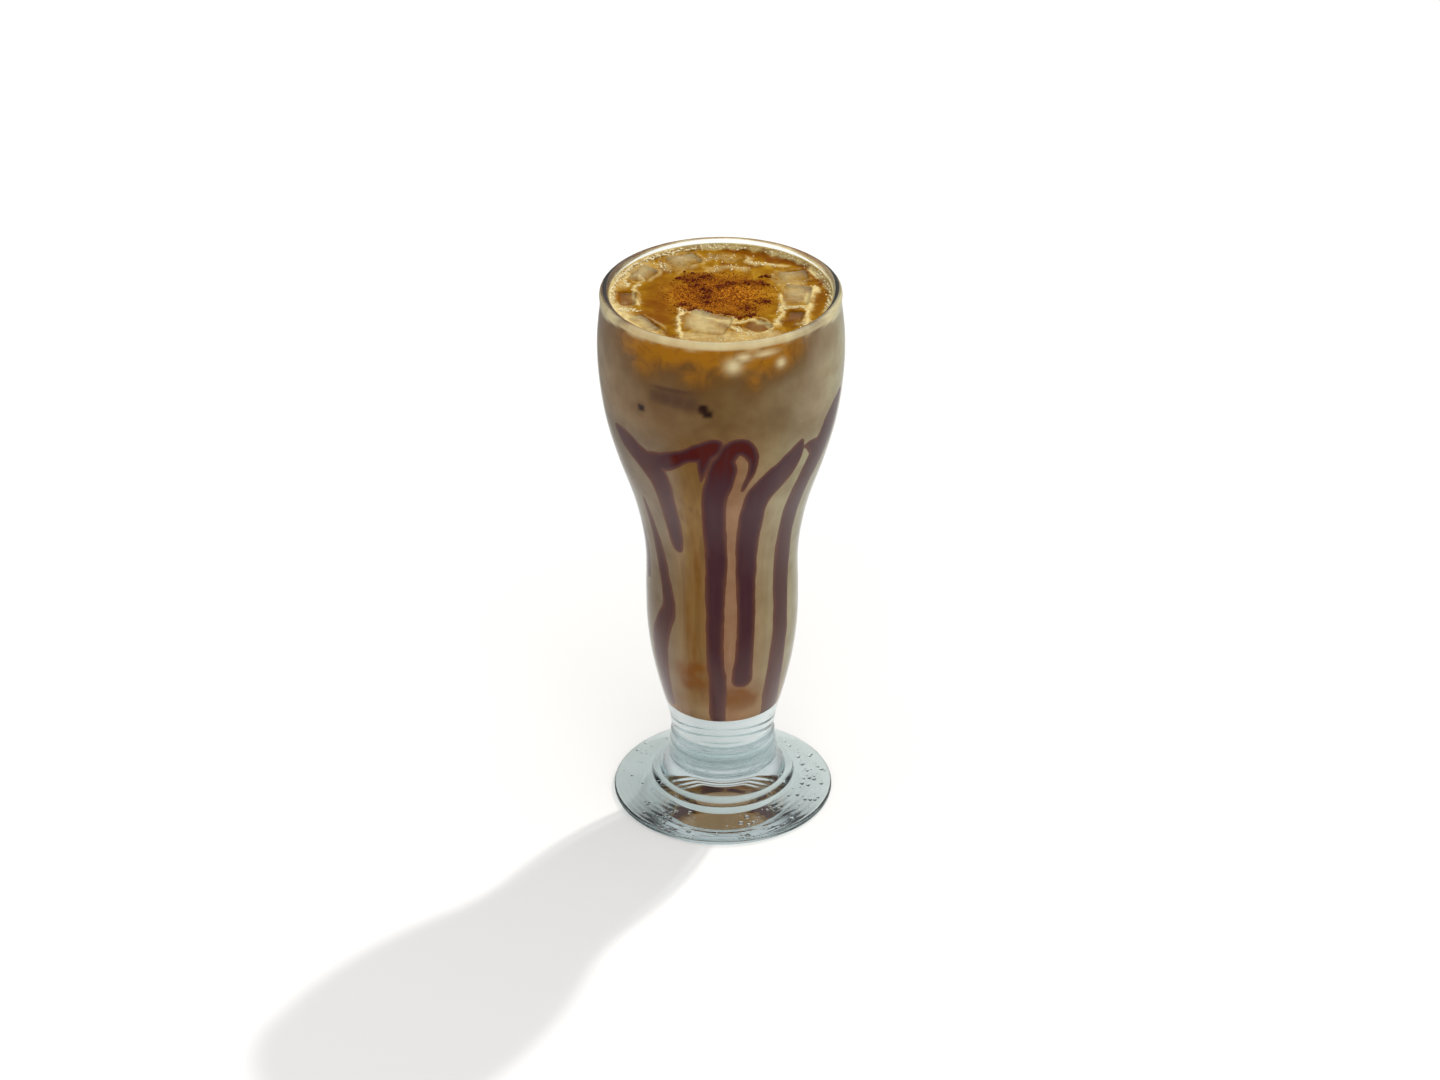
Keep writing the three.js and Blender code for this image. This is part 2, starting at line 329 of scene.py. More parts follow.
# Wet ice: nearly as clear as water, so its faces show by their glints and by the pale cracks and air inside.
ice_material, tree = new_material("melting_wet_ice")
place = add_node(tree, "ShaderNodeTexCoord").outputs["Object"]
cloud = add_node(tree, "ShaderNodeAttribute", attribute_name="cloud")
melt = add_node(tree, "ShaderNodeTexNoise", {"Vector": place, "Scale": 1 / (4 * MM), "Detail": 3})
bump = add_node(tree, "ShaderNodeBump", {"Height": melt.outputs[0], "Strength": 0.5, "Distance": 0.5 * MM})
clear_ice = add_node(tree, "ShaderNodeBsdfPrincipled", {
    "Base Color": "#f7f5ee", "Roughness": 0.04, "IOR": 1.2, "Transmission Weight": 1.0,
    "Normal": bump.outputs[0],
})
milky_ice = add_node(tree, "ShaderNodeBsdfPrincipled", {
    "Base Color": "#c4b888", "Roughness": 0.2, "IOR": 1.2, "Normal": bump.outputs[0],
})
cracks = add_node(tree, "ShaderNodeTexNoise", {
    "Vector": place, "Scale": 1 / (6 * MM), "Detail": 4, "Distortion": 1,
})
haze = add_node(tree, "ShaderNodeMath", {0: cloud.outputs["Fac"], 1: cracks.outputs[0]}, operation="MULTIPLY")
ice_mix = add_node(tree, "ShaderNodeMixShader", {
    0: haze.outputs[0], 1: clear_ice.outputs[0], 2: milky_ice.outputs[0],
})
add_node(tree, "ShaderNodeOutputMaterial", {"Surface": pass_light(tree, ice_mix, "#f0eee6")})


def ice_cube(sides, phase):
    """A cube with melted corners and uneven faces, as points in millimetres about its middle, and faces."""
    half = np.asarray(sides) / 2
    core = half - ICE_CORNER
    face_steps = np.linspace(-1, 1, ICE_FACE_STEPS)
    in_corner = len(ICE_CORNER_STEPS)
    corner_steps = [-step for step in ICE_CORNER_STEPS[::-1]] + [0.0] * ICE_FACE_STEPS + [*ICE_CORNER_STEPS]
    steps = len(corner_steps)
    points = []
    faces = []
    for axis in range(3):
        across = [(axis + 1) % 3, (axis + 2) % 3]
        for side in (-1, 1):
            first = len(points)
            for i in range(steps):
                for j in range(steps):
                    point = np.zeros(3)
                    point[axis] = side * half[axis]
                    for along, k in zip(across, (i, j)):
                        on_face = min(max(k - in_corner, 0), ICE_FACE_STEPS - 1)
                        point[along] = core[along] * face_steps[on_face] + ICE_CORNER * corner_steps[k]
                    inner = np.clip(point, -core, core)
                    out = point - inner
                    point = inner + out / np.linalg.norm(out) * ICE_CORNER
                    points.append(point)
            for i in range(steps - 1):
                for j in range(steps - 1):
                    a = first + i * steps + j
                    face = (a, a + steps, a + steps + 1, a + 1)
                    faces.append(face if side > 0 else face[::-1])
    points = np.array(points)
    wave = np.sin(phase + points[:, 0] * MELT_WAVES[0] + points[:, 2] * MELT_WAVES[2])
    wave *= ICE_MELT * np.cos(phase + points[:, 1] * MELT_WAVES[1])
    taper = 1 - ICE_TAPER * (0.5 - points[:, 2] / sides[2] / 2)
    points[:, 0] = points[:, 0] * taper + wave
    points[:, 1] = points[:, 1] * taper - wave
    dents = [noise.noise(Vector(p) * DENT_WAVE + Vector((phase * DENT_PHASE, 0, 0))) for p in points]
    points[:, 2] += np.array(dents) * DENT_DEPTH
    worn = [noise.noise_vector(Vector(p) * WEAR_WAVE + Vector((0, phase * WEAR_PHASE, 0))) for p in points]
    points[:, :2] += np.array(worn)[:, :2] * WEAR_DEPTH
    return points, faces


noise.seed_set(WEAR_SEED)
for index, cube in enumerate(ICE):
    points, faces = ice_cube(cube["sides"], index * MELT_PHASE_STEP)
    from_edge = np.min(np.asarray(cube["sides"][:2]) / 2 - np.abs(points[:, :2]), axis=1)
    clouds = cube["cloud"] * np.clip(from_edge / CLEAR_EDGE, 0, 1)
    lean_x, lean_y = (math.radians(angle) for angle in cube["lean"])
    turn = Matrix.Rotation(math.radians(cube["turn"]), 3, "Z")
    stand = turn @ Matrix.Rotation(lean_y, 3, "Y") @ Matrix.Rotation(lean_x, 3, "X")
    middle = (*cube["at"], LEVEL_Z + cube["above"] - cube["sides"][2] / 2)
    points = points @ np.array(stand).T + middle
    name = f"ice_{index + 1}"
    piece = new_piece(
        f"melted_{name}", points, faces, [ice_material], replaced=[name], values={"cloud": clouds}
    )
    weld = piece.modifiers.new("joined_faces", "WELD")
    weld.merge_threshold = ICE_WELD * MM


# The coffee: milk and espresso poured over ice, so it is amber crema at the top, milky below and tan at the
# foot. It fills the bowl and wets the wall, and its top carries cream, foam and pits where the ice floats.
WALL_BITE = 0.1
COFFEE_AROUND = 384
SIDE_STEPS = 132
TOP_STEPS = 100
MENISCUS_RISE = 1.9
MENISCUS_WIDTH = 1.1
MENISCUS_FALL = 1.6
CREAM_RIDGE = 0.22
RIPPLE = 0.12
# The coffee creeps up the ice by a small meniscus of its own, and has a pit under each cube.
CREEP_RISE = 0.45
CREEP_WIDTH = 0.8
CREEP_REACH = 6
PIT_DEPTH = 1.4
PIT_WALL = 2.0
# The cream that gathers against the ice: how strong, how far out its middle lies, how wide it is.
ICE_CREAM = 0.4
ICE_CREAM_OUT = 0.4
ICE_CREAM_WIDTH = 0.9
# The foam along the wall, and a line of painted shade between foam and glass that darkens the back only.
FOAM_LINE = 1.0
FOAM_STRENGTH = 0.8
BACK_SHADE_LINE = 0.35
BACK_SHADE_FROM_BACK = 15
SWIRL = 1.8
STROKE_STEPS = 6
# FAR is further off than anything here, and TINY keeps a division clear of 0.
FAR = 1e9
TINY = 1e-9

# Where cream lies on the surface: strokes of (x, y) points with a half-width and how thick the cream is.
CREAM_STROKES = [
    ([(-6, 36.2), (5, 36.3), (14, 33.9), (23, 28.6), (29.6, 21.6), (34.2, 12)], 1.5, 1.0),
    ([(34.5, 9), (35.8, 0), (34, -11)], 0.9, 0.5),
    ([(-13, -33.6), (0, -35), (11, -33)], 2.9, 0.95),
    ([(11, -33), (22, -27.5), (30, -19)], 2.0, 0.6),
    ([(-10, -28), (2, -29), (16, -27)], 4.6, 0.55),
    ([(-34, -6), (-31.5, -13), (-27, -21.5), (-21.5, -28)], 3.2, 0.8),
    ([(-35.5, 6), (-35.6, -3)], 1.2, 0.6),
    ([(-33, 9), (-31, 17), (-25, 25)], 3.2, 0.45),
    ([(-31, 8), (-31, 18)], 0.8, 0.75),
    ([(-27, 8), (-26.5, 16)], 0.7, 0.6),
    ([(-16, 31), (-12, 24)], 5.5, 0.35),
    ([(-28.2, 8), (-27.9, 0), (-28.2, -5)], 1.0, 0.85),
    ([(-33, -8.5), (-27, -9.5)], 1.0, 0.4),
    ([(-13.2, -9), (-13.6, -20), (-12.6, -28)], 0.9, 1.0),
    ([(-8, -14), (-6, -21)], 4.4, 0.6),
    ([(-13, -9.5), (-7, -13.5), (0.5, -17.5), (4, -16)], 1.1, 0.75),
    ([(3, -19), (9, -17), (14, -18.5), (17, -21)], 1.2, 0.8),
    ([(4, -22), (8, -26), (13, -26.5), (17, -23)], 1.3, 0.7),
    ([(19.5, 0), (20.5, -6), (19.6, -12), (18.2, -20)], 1.3, 0.8),
    ([(31, 7), (29.5, 0), (28.6, -9), (26.6, -20)], 1.1, 0.85),
    ([(20.5, -6), (24, -8), (28.6, -7)], 1.2, 0.7),
    ([(22, 14), (25, 4)], 5.0, 0.45),
    ([(9, 29), (10, 25), (14, 24.5), (21, 22.5)], 1.2, 0.6),
    ([(-4, 20.5), (2, 22), (8, 20.5)], 2.2, 0.35),
    ([(-6, 28), (-1, 30), (4, 28.5)], 2.4, 0.3),
    ([(-20, 24), (-17, 21)], 2.5, 0.4),
]

# Where strong coffee lies without cream, in the same way, and where shade is painted as dark coffee.
ROAST_AND_SHADE_STROKES = [
    # Painted shade: the dark band along the wall at the back right, where the meniscus lies in shade.
    ([(2, 33.6), (10, 31.6), (18, 28.6), (25, 23.5), (30, 17), (33, 9)], 1.9, 0.95),
    ([(32.4, 5), (32.2, -4), (30.8, -13)], 1.6, 0.6),
    ([(-21, -4), (-20, -17)], 5.0, 0.85),
    ([(-25, -10), (-23, -18)], 2.6, 0.7),
    ([(-21, 6), (-20, -2)], 4.0, 0.6),
    ([(-19, 12), (-14, 8), (-10, 2)], 4.5, 0.5),
    ([(-9, -6), (0, -8), (10, -7)], 5.0, 0.5),
    ([(-10, 15), (2, 12), (12, 10)], 3.2, 0.6),
    ([(-32, 2), (-31.5, -4)], 2.6, 0.8),
    ([(9, -20.5), (14, -21.5)], 2.8, 0.75),
    ([(24.5, -11.5), (22.5, -18)], 2.4, 0.85),
    ([(2, -19.5), (3, -21.5)], 1.0, 0.6),
    ([(1, 25.5), (3.5, 24)], 0.9, 0.6),
    ([(9.5, 22), (10.5, 23)], 0.9, 0.5),
    ([(14.6, 16), (15.2, 14.5)], 0.8, 0.9),
    ([(-19.5, 18.5), (-18.5, 18)], 1.4, 0.6),
    ([(-15.5, 22), (-14.5, 22)], 1.1, 0.5),
    ([(27.6, 6.2), (28.6, 5.2)], 0.9, 0.9),
]


def stroke_field(x, y, strokes):
    """How strongly strokes cover each place: full along their lines, fading out past their half-width."""
    cover = np.zeros_like(x)
    for line, half_width, strength in strokes:
        path = smooth_line(line, STROKE_STEPS)
        nearest = np.full_like(x, FAR)
        for start, end in zip(path, path[1:]):
            step = end - start
            share = ((x - start[0]) * step[0] + (y - start[1]) * step[1]) / max(step @ step, TINY)
            share = np.clip(share, 0, 1)
            away = np.hypot(x - start[0] - share * step[0], y - start[1] - share * step[1])
            nearest = np.minimum(nearest, away)
        cover = np.maximum(cover, strength * np.exp(-((nearest / half_width) ** 2)))
    return cover


def ice_distance(x, y, cube):
    """How far a place on the surface is outside a cube's outline, negative inside it."""
    angle = math.radians(cube["turn"])
    dx = x - cube["at"][0]
    dy = y - cube["at"][1]
    along = np.abs(dx * math.cos(angle) + dy * math.sin(angle)) - cube["sides"][0] / 2 + ICE_CORNER
    across = np.abs(dy * math.cos(angle) - dx * math.sin(angle)) - cube["sides"][1] / 2 + ICE_CORNER
    outside = np.hypot(np.maximum(along, 0), np.maximum(across, 0))
    return outside + np.minimum(np.maximum(along, across), 0) - ICE_CORNER


def patches(x, y, z, size, seed, octaves=3):
    """Soft random patches of a size in millimetres, from about -1 to 1."""
    total = np.zeros(len(x))
    for i in range(len(x)):
        total[i] = noise.fractal(Vector((x[i] / size, y[i] / size, z[i] / size + seed)), 1.0, 2.0, octaves)
    return total


def surface_height(x, y):
    """The height of the coffee's surface over its level, without the pits under the ice."""
    radius = np.hypot(x, y)
    wall = float(inner_radius(LEVEL_Z)) + WALL_BITE
    rise = MENISCUS_RISE * np.exp(-np.maximum(wall - radius, 0) / MENISCUS_WIDTH * MENISCUS_FALL)
    rise += CREAM_RIDGE * stroke_field(x, y, CREAM_STROKES)
    for cube in ICE:
        gap = ice_distance(x, y, cube)
        rise += CREEP_RISE * np.exp(-np.maximum(gap, 0) / CREEP_WIDTH) * (gap < CREEP_REACH)
    return rise


side_outline = inside_outline(LEVEL_Z + MENISCUS_RISE, SIDE_STEPS, WALL_BITE)
wall_radius = side_outline[-1][0]
top_radii = [wall_radius * (1 - i / TOP_STEPS) for i in range(1, TOP_STEPS)]
coffee_outline = side_outline + [(radius, LEVEL_Z) for radius in top_radii] + [(0, LEVEL_Z)]
coffee_points, coffee_faces = turned(coffee_outline, COFFEE_AROUND)
first_top = 1 + (len(side_outline) - 1) * COFFEE_AROUND
x, y, z = coffee_points.T
on_top = np.arange(len(x)) >= first_top
top_x = x[on_top]
top_y = y[on_top]
level = np.zeros(len(top_x))
pit = np.zeros(len(top_x))
rim_cream = np.zeros(len(top_x))
for cube in ICE:
    gap = ice_distance(top_x, top_y, cube)
    pit = np.maximum(pit, np.clip(-gap / PIT_WALL, 0, 1))
    against_ice = np.exp(-(((gap - ICE_CREAM_OUT) / ICE_CREAM_WIDTH) ** 2))
    rim_cream = np.maximum(rim_cream, ICE_CREAM * against_ice)
# The pit's walls are eased into the surface and into its floor.
pit = pit * pit * (3 - 2 * pit)
rim_cream *= np.clip(0.5 + 1.2 * patches(top_x, top_y, level, size=6, seed=41), 0, 1)
ripples = patches(top_x, top_y, level, size=5, seed=3)
z[on_top] = LEVEL_Z + surface_height(top_x, top_y) + RIPPLE * ripples - PIT_DEPTH * pit
coffee_points[:, 2] = z

# How much cream, roasted coffee with painted shade, and spice lies on each place of the top, with its strokes
# stirred about.
POWDER_MIDDLE = (-1.5, 1)
POWDER_STAIN = (16.5, 14.5)
swirl_x = top_x + SWIRL * patches(top_x, top_y, level, size=5, seed=11, octaves=5)
swirl_y = top_y + SWIRL * patches(top_x, top_y, level, size=5, seed=17, octaves=5)
cream = np.zeros(len(x))
roast_and_shade = np.zeros(len(x))
spice = np.zeros(len(x))
foam_width = FOAM_LINE + 0.5 * patches(top_x, top_y, level, size=9, seed=29)
from_wall = wall_radius - np.hypot(top_x, top_y)
rim_cream = np.maximum(rim_cream, FOAM_STRENGTH * np.exp(-np.maximum(from_wall / foam_width, 0) ** 2))
cream[on_top] = np.clip(np.maximum(stroke_field(swirl_x, swirl_y, CREAM_STROKES), rim_cream), 0, 1)
# Painted shade: the meniscus along the back wall is darkened, and its cream taken away, where it lies in
# shade.
painted_back_shade = np.exp(-((from_wall / BACK_SHADE_LINE) ** 2)) * np.clip(top_y / BACK_SHADE_FROM_BACK, 0, 1)
cream[on_top] *= 1 - painted_back_shade
stain_x = (swirl_x - POWDER_MIDDLE[0]) / POWDER_STAIN[0]
stain_y = (swirl_y - POWDER_MIDDLE[1]) / POWDER_STAIN[1]
spice[on_top] = np.exp(-np.hypot(stain_x, stain_y) ** 4)
roast_and_shade[on_top] = np.maximum(stroke_field(swirl_x, swirl_y, ROAST_AND_SHADE_STROKES), painted_back_shade)

# On the side the crema hangs down in lobes and drips, a sunk cube shows faintly, and roasted coffee stains
# the milk near the foot. Each spot is degrees round from the front, height, half-width, half-height and,
# where it is not 1, its strength.
CREMA_FADE = (177, 187)
CREMA_EDGE_WAVE = 2.2
# How strong the crema is, by degrees round from the front.
CREMA_AROUND = [
    (-180, 0.7), (-100, 0.4), (-66, 0.36), (-45, 1), (32, 1), (56, 0.18), (95, 0.08), (130, 0.6), (180, 0.7),
]
CREMA_LOBES = [
    (-40, 183, 11, 7), (-12, 183, 9, 7), (16, 180.5, 4.5, 6), (30, 186, 5, 5), (48, 188, 12, 5),
    (-64, 185, 8, 6),
]
LOBE_STRENGTH = 0.75
CREAM_SPOTS = [
    (5.9, 185.7, 2.6, 2.4), (30.1, 184.6, 1.6, 1.5), (11, 188.5, 2.5, 1.4), (22, 189, 4, 1),
    (-16, 42, 8, 4, 0.2), (16, 42, 8, 4, 0.1),
]
CREAM_SPOT_STRENGTH = 0.85
AMBER_STAINS = [
    (-28, 59, 4.8, 4), (-24, 54.5, 4.5, 3, 0.9), (-31, 54, 3, 2.6), (-22, 61.5, 2.8, 2.8), (17, 48, 6, 6),
    (-24, 68, 0.9, 9, 0.5), (-20, 101, 1.1, 14, 0.4), (-29, 80, 1, 16, 0.3),
]
STAIN_STRENGTH = 1.5
SUNK_ICE = [
    (-32, 172.6, 3.2, 2.6, 0.7), (-27, 172.6, 3.2, 2.8, 0.8), (-21, 172.4, 3.2, 2.9, 0.8),
    (-15, 171.8, 3.2, 2.9, 0.75), (-24, 175.6, 8, 0.9, 0.9),
]
DARK_SPECKS = [(-41.6, 166.6, 1.3, 1.1), (-8.6, 170.4, 1.5, 1.5), (-6.6, 168.8, 1.5, 1.4)]
SPECK_STRENGTH = 1.6
# Where the sauce drew the milk out into upright streaks.
DRAWN_OUT = [(-21, 92, 8, 52), (4, 80, 4, 50, 0.5), (34, 90, 6, 50, 0.4)]
# The foam's lower edge hangs deeper at the sides: by how much, from how many degrees, over how many more.
FOAM_AT_SIDES = 2.6
FOAM_DEEPENS = (55, 25)
FOAM_FADE = 0.8
side_angle = np.degrees(np.arctan2(x, -y))
arc_length = np.radians(1) * np.hypot(x, y)


def spots(places, sharpness=2):
    """How strongly each place on the coffee's side is inside soft spots; the top is left out."""
    cover = np.zeros(len(x))
    for angle, height, across, along, *strength in places:
        off = (side_angle - angle) * arc_length
        outside = (np.abs(off / across) ** sharpness) + np.abs((z - height) / along) ** sharpness
        cover = np.maximum(cover, np.exp(-outside) * (strength[0] if strength else 1))
    return cover * ~on_top


edge_wave = CREMA_EDGE_WAVE * patches(x, y, z * 0.3, size=14, seed=5)
crema = np.clip((z - CREMA_FADE[0] + edge_wave) / (CREMA_FADE[1] - CREMA_FADE[0]), 0, 1)
crema = np.clip(np.maximum(crema, LOBE_STRENGTH * spots(CREMA_LOBES)), 0, 1)
crema *= np.interp(side_angle, *zip(*CREMA_AROUND))
foam_foot = LEVEL_Z - 0.4 * FOAM_LINE + 0.6 * patches(x, y, z * 0, size=7, seed=31)
foam_foot -= FOAM_AT_SIDES * np.clip((np.abs(side_angle) - FOAM_DEEPENS[0]) / FOAM_DEEPENS[1], 0, 1)
foam_share = 0.72 + 0.22 * patches(x, y, z, size=4, seed=37)
side_foam = np.clip((z - foam_foot) / FOAM_FADE, 0, 1) * foam_share * ~on_top
side_cream = np.maximum(CREAM_SPOT_STRENGTH * spots(CREAM_SPOTS), side_foam)
cream = np.maximum(cream, side_cream)
stain_patches = 0.9 + 0.6 * patches(x, y, z, size=3.5, seed=43)
stain = np.clip(STAIN_STRENGTH * spots(AMBER_STAINS) * stain_patches, 0, 1)
sunk = spots(SUNK_ICE, sharpness=4)
speck = np.clip(SPECK_STRENGTH * spots(DARK_SPECKS, sharpness=3), 0, 1)
drawn = spots(DRAWN_OUT, sharpness=4)

# Milky coffee seen through the wall: matt and a little translucent, browner where less milk reached, with
# slow clouds about 9 mm wide and fine upright streaks 2 mm apart where the sauce held the milk back.
# Its tone changes from side to side, partly its own tan streaks and partly painted light and shade, changes
# again over the heads of the sauce's runs, and is painted lighter just above the bowl's floor.
SIDE_TO_SIDE = 36
SAUCE_HEADS = (150, 163)
SOLE_FADE = 0.6
coffee_body, tree = new_material("milky_coffee_against_glass")
place = add_node(tree, "ShaderNodeTexCoord").outputs["Object"]
parts = add_node(tree, "ShaderNodeSeparateXYZ", {0: place})
up = add_node(tree, "ShaderNodeMapRange", {
    "Value": parts.outputs["Z"], "From Min": FLOOR_Z * MM, "From Max": LEVEL_Z * MM,
})
less_milk = add_node(tree, "ShaderNodeValToRGB", {0: up.outputs[0]}, stops=[
    (0.0, "#ffe2b8"), (1.0, "#d8c8b4"), (0.1, "#ffffff"), (0.55, "#ffffff"), (0.7, "#ece6de"),
    (0.85, "#dccfc0"),
])
side = add_node(tree, "ShaderNodeMapRange", {
    "Value": parts.outputs["X"], "From Min": -SIDE_TO_SIDE * MM, "From Max": SIDE_TO_SIDE * MM,
})
# Painted light and sheen over the coffee's own tan streaks: lighter and paler towards the right, where the
# key light falls, and greyer at the left edge.
milk_tone_and_painted_light = add_node(tree, "ShaderNodeValToRGB", {0: side.outputs[0]}, stops=[
    (0.0, "#9c9084"), (1.0, "#cec6ae"), (0.24, "#96806a"), (0.34, "#967142"), (0.4, "#946f3e"),
    (0.5, "#a67a5e"), (0.57, "#a87e60"), (0.69, "#aa9370"), (0.83, "#b7ab8b"),
])
lower = add_node(tree, "ShaderNodeMix", {
    0: 1.0, 6: milk_tone_and_painted_light.outputs[0], 7: less_milk.outputs[0],
}, data_type="RGBA", blend_type="MULTIPLY")
# Above the sauce's heads, painted light and shade over the crema's own golden brown: darker in the middle,
# where the front lies in shade, and lighter towards the right.
upper = add_node(tree, "ShaderNodeValToRGB", {0: side.outputs[0]}, stops=[
    (0.0, "#a08466"), (1.0, "#c8ba96"), (0.15, "#8c6c4c"), (0.3, "#826242"), (0.5, "#7e5f36"),
    (0.62, "#8b6d48"), (0.8, "#927a5c"), (0.92, "#b09878"),
])
above_sauce = add_node(tree, "ShaderNodeMapRange", {
    "Value": parts.outputs["Z"], "From Min": SAUCE_HEADS[0] * MM, "From Max": SAUCE_HEADS[1] * MM,
})
toned = add_node(tree, "ShaderNodeMix", {
    0: above_sauce.outputs[0], 6: lower.outputs[2], 7: upper.outputs[0],
}, data_type="RGBA")
clouds = add_node(tree, "ShaderNodeTexNoise", {"Vector": place, "Scale": 1 / (9 * MM), "Detail": 3})
drawn_out = add_node(tree, "ShaderNodeMapping", {"Vector": place, "Scale": (1, 1, 0.06)})
streaks = add_node(tree, "ShaderNodeTexNoise", {
    "Vector": drawn_out.outputs[0], "Scale": 1 / (2 * MM), "Detail": 3,
})
drawn_part = add_node(tree, "ShaderNodeAttribute", attribute_name="drawn")
patchy = add_node(tree, "ShaderNodeMix", {
    "Factor": drawn_part.outputs["Fac"], "A": clouds.outputs[0], "B": streaks.outputs[0],
})
variety = add_node(tree, "ShaderNodeValToRGB", {0: patchy.outputs[0]}, stops=[
    (0.32, "#cdbba4"), (0.66, "#fffdf8"),
])
soft = add_node(tree, "ShaderNodeMix", {
    0: 0.7, 6: toned.outputs[2], 7: variety.outputs[0],
}, data_type="RGBA", blend_type="MULTIPLY")
crema_part = add_node(tree, "ShaderNodeAttribute", attribute_name="crema")
stirred = add_node(tree, "ShaderNodeTexNoise", {
    "Vector": place, "Scale": 1 / (5 * MM), "Detail": 4, "Distortion": 1.2,
})
swirled = add_node(tree, "ShaderNodeMapRange", {
    "Value": stirred.outputs[0], "From Min": 0.3, "From Max": 0.7, "To Min": 0.68, "To Max": 1.3,
})
crema_depth = add_node(tree, "ShaderNodeMath", {
    0: crema_part.outputs["Fac"], 1: swirled.outputs[0],
}, operation="MULTIPLY")
crema_ramp = add_node(tree, "ShaderNodeValToRGB", {0: crema_depth.outputs[0]}, stops=[
    (0.0, "#64421c"), (1.0, "#ac6c06"), (0.4, "#704610"), (0.7, "#945c0e"),
])
crema_share = add_node(tree, "ShaderNodeMath", {0: crema_part.outputs["Fac"], 1: 0.6}, operation="POWER")
with_crema = add_node(tree, "ShaderNodeMix", {
    0: crema_share.outputs[0], 6: soft.outputs[2], 7: crema_ramp.outputs[0],
}, data_type="RGBA")
# Painted light: the underside just above the bowl's floor is made lighter, standing in for light that hardly
# reaches it, so that it shows in the foot.
painted_lit_sole = add_node(tree, "ShaderNodeMapRange", {
    "Value": parts.outputs["Z"],
    "From Min": (FLOOR_Z + SOLE_FADE) * MM, "From Max": (FLOOR_Z - WALL_BITE) * MM,
})
with_painted_lit_sole = add_node(tree, "ShaderNodeMix", {
    0: painted_lit_sole.outputs[0], 6: with_crema.outputs[2], 7: "#e8b084",
}, data_type="RGBA")
# What lies against the glass, each over the one before: stains, cream and foam, sunk ice, dark specks.
body_colour = with_painted_lit_sole.outputs[2]
for layer, colour in (("stain", "#824a04"), ("cream", "#f6e2b2"), ("sunk", "#523628"), ("speck", "#260800")):
    cover = add_node(tree, "ShaderNodeAttribute", attribute_name=layer)
    with_layer = add_node(tree, "ShaderNodeMix", {
        0: cover.outputs["Fac"], 6: body_colour, 7: colour,
    }, data_type="RGBA")
    body_colour = with_layer.outputs[2]
body_skin = add_node(tree, "ShaderNodeBsdfPrincipled", {
    "Base Color": body_colour, "Roughness": 0.6, "Specular IOR Level": 0.0,
    "Subsurface Weight": 0.2, "Subsurface Radius": (0.7, 0.55, 0.4), "Subsurface Scale": 4 * MM,
})
add_node(tree, "ShaderNodeOutputMaterial", {"Surface": body_skin.outputs[0]})

# The coffee's top: a wet skin of crema with cream drawn over it, glossy as any liquid. Foam gives it pinhead
# bubbles about 0.8 mm across, drawn coarser than the real ones so that they show.
coffee_top, tree = new_material("crema_and_cream_wet_top")
place = add_node(tree, "ShaderNodeTexCoord").outputs["Object"]
cream_part = add_node(tree, "ShaderNodeAttribute", attribute_name="cream")
roast_and_shade_part = add_node(tree, "ShaderNodeAttribute", attribute_name="roast_and_shade")
clouds = add_node(tree, "ShaderNodeTexNoise", {
    "Vector": place, "Scale": 1 / (5 * MM), "Detail": 5, "Distortion": 0.6,
})
crema_tone = add_node(tree, "ShaderNodeValToRGB", {0: clouds.outputs[0]}, stops=[
    (0.3, "#6a4200"), (0.7, "#9c761c"), (0.5, "#865c04"),
])
spice_part = add_node(tree, "ShaderNodeAttribute", attribute_name="spice")
dust = add_node(tree, "ShaderNodeTexNoise", {"Vector": place, "Scale": 1 / (1.1 * MM), "Detail": 4})
dust_tone = add_node(tree, "ShaderNodeValToRGB", {0: dust.outputs[0]}, stops=[
    (0.3, "#6c2a04"), (0.7, "#c88a20"), (0.5, "#a2600c"),
])
with_spice = add_node(tree, "ShaderNodeMix", {
    0: spice_part.outputs["Fac"], 6: crema_tone.outputs[0], 7: dust_tone.outputs[0],
}, data_type="RGBA")
# The dark coffee colour also paints the shade on the meniscus along the back wall.
with_roast_and_shade = add_node(tree, "ShaderNodeMix", {
    0: roast_and_shade_part.outputs["Fac"], 6: with_spice.outputs[2], 7: "#6a3800",
}, data_type="RGBA")
fine = add_node(tree, "ShaderNodeTexNoise", {"Vector": place, "Scale": 1 / (1.6 * MM), "Detail": 3})
ragged = add_node(tree, "ShaderNodeMath", {0: fine.outputs[0], 1: -0.5}, operation="ADD")
cream_edge = add_node(tree, "ShaderNodeMath", {
    0: ragged.outputs[0], 1: 0.6, 2: cream_part.outputs["Fac"],
}, operation="MULTIPLY_ADD")
cream_ramp = add_node(tree, "ShaderNodeValToRGB", {0: cream_edge.outputs[0]}, stops=[
    (0.1, 0.0), (1.1, 1.0), (0.55, 0.45),
])
with_cream = add_node(tree, "ShaderNodeMix", {
    0: cream_ramp.outputs[0], 6: with_roast_and_shade.outputs[2], 7: "#d0be86",
}, data_type="RGBA")
bubbles = add_node(tree, "ShaderNodeTexVoronoi", {"Vector": place, "Scale": 1 / (0.8 * MM)})
bump = add_node(tree, "ShaderNodeBump", {
    "Height": bubbles.outputs[0], "Strength": 0.35, "Distance": 0.15 * MM,
})
top_skin = add_node(tree, "ShaderNodeBsdfPrincipled", {
    "Base Color": with_cream.outputs[2], "Roughness": 0.22, "IOR": 1.34, "Normal": bump.outputs[0],
    "Specular IOR Level": 0.03,
    "Subsurface Weight": 0.15, "Subsurface Radius": (0.7, 0.55, 0.4), "Subsurface Scale": 2 * MM,
})
add_node(tree, "ShaderNodeOutputMaterial", {"Surface": top_skin.outputs[0]})

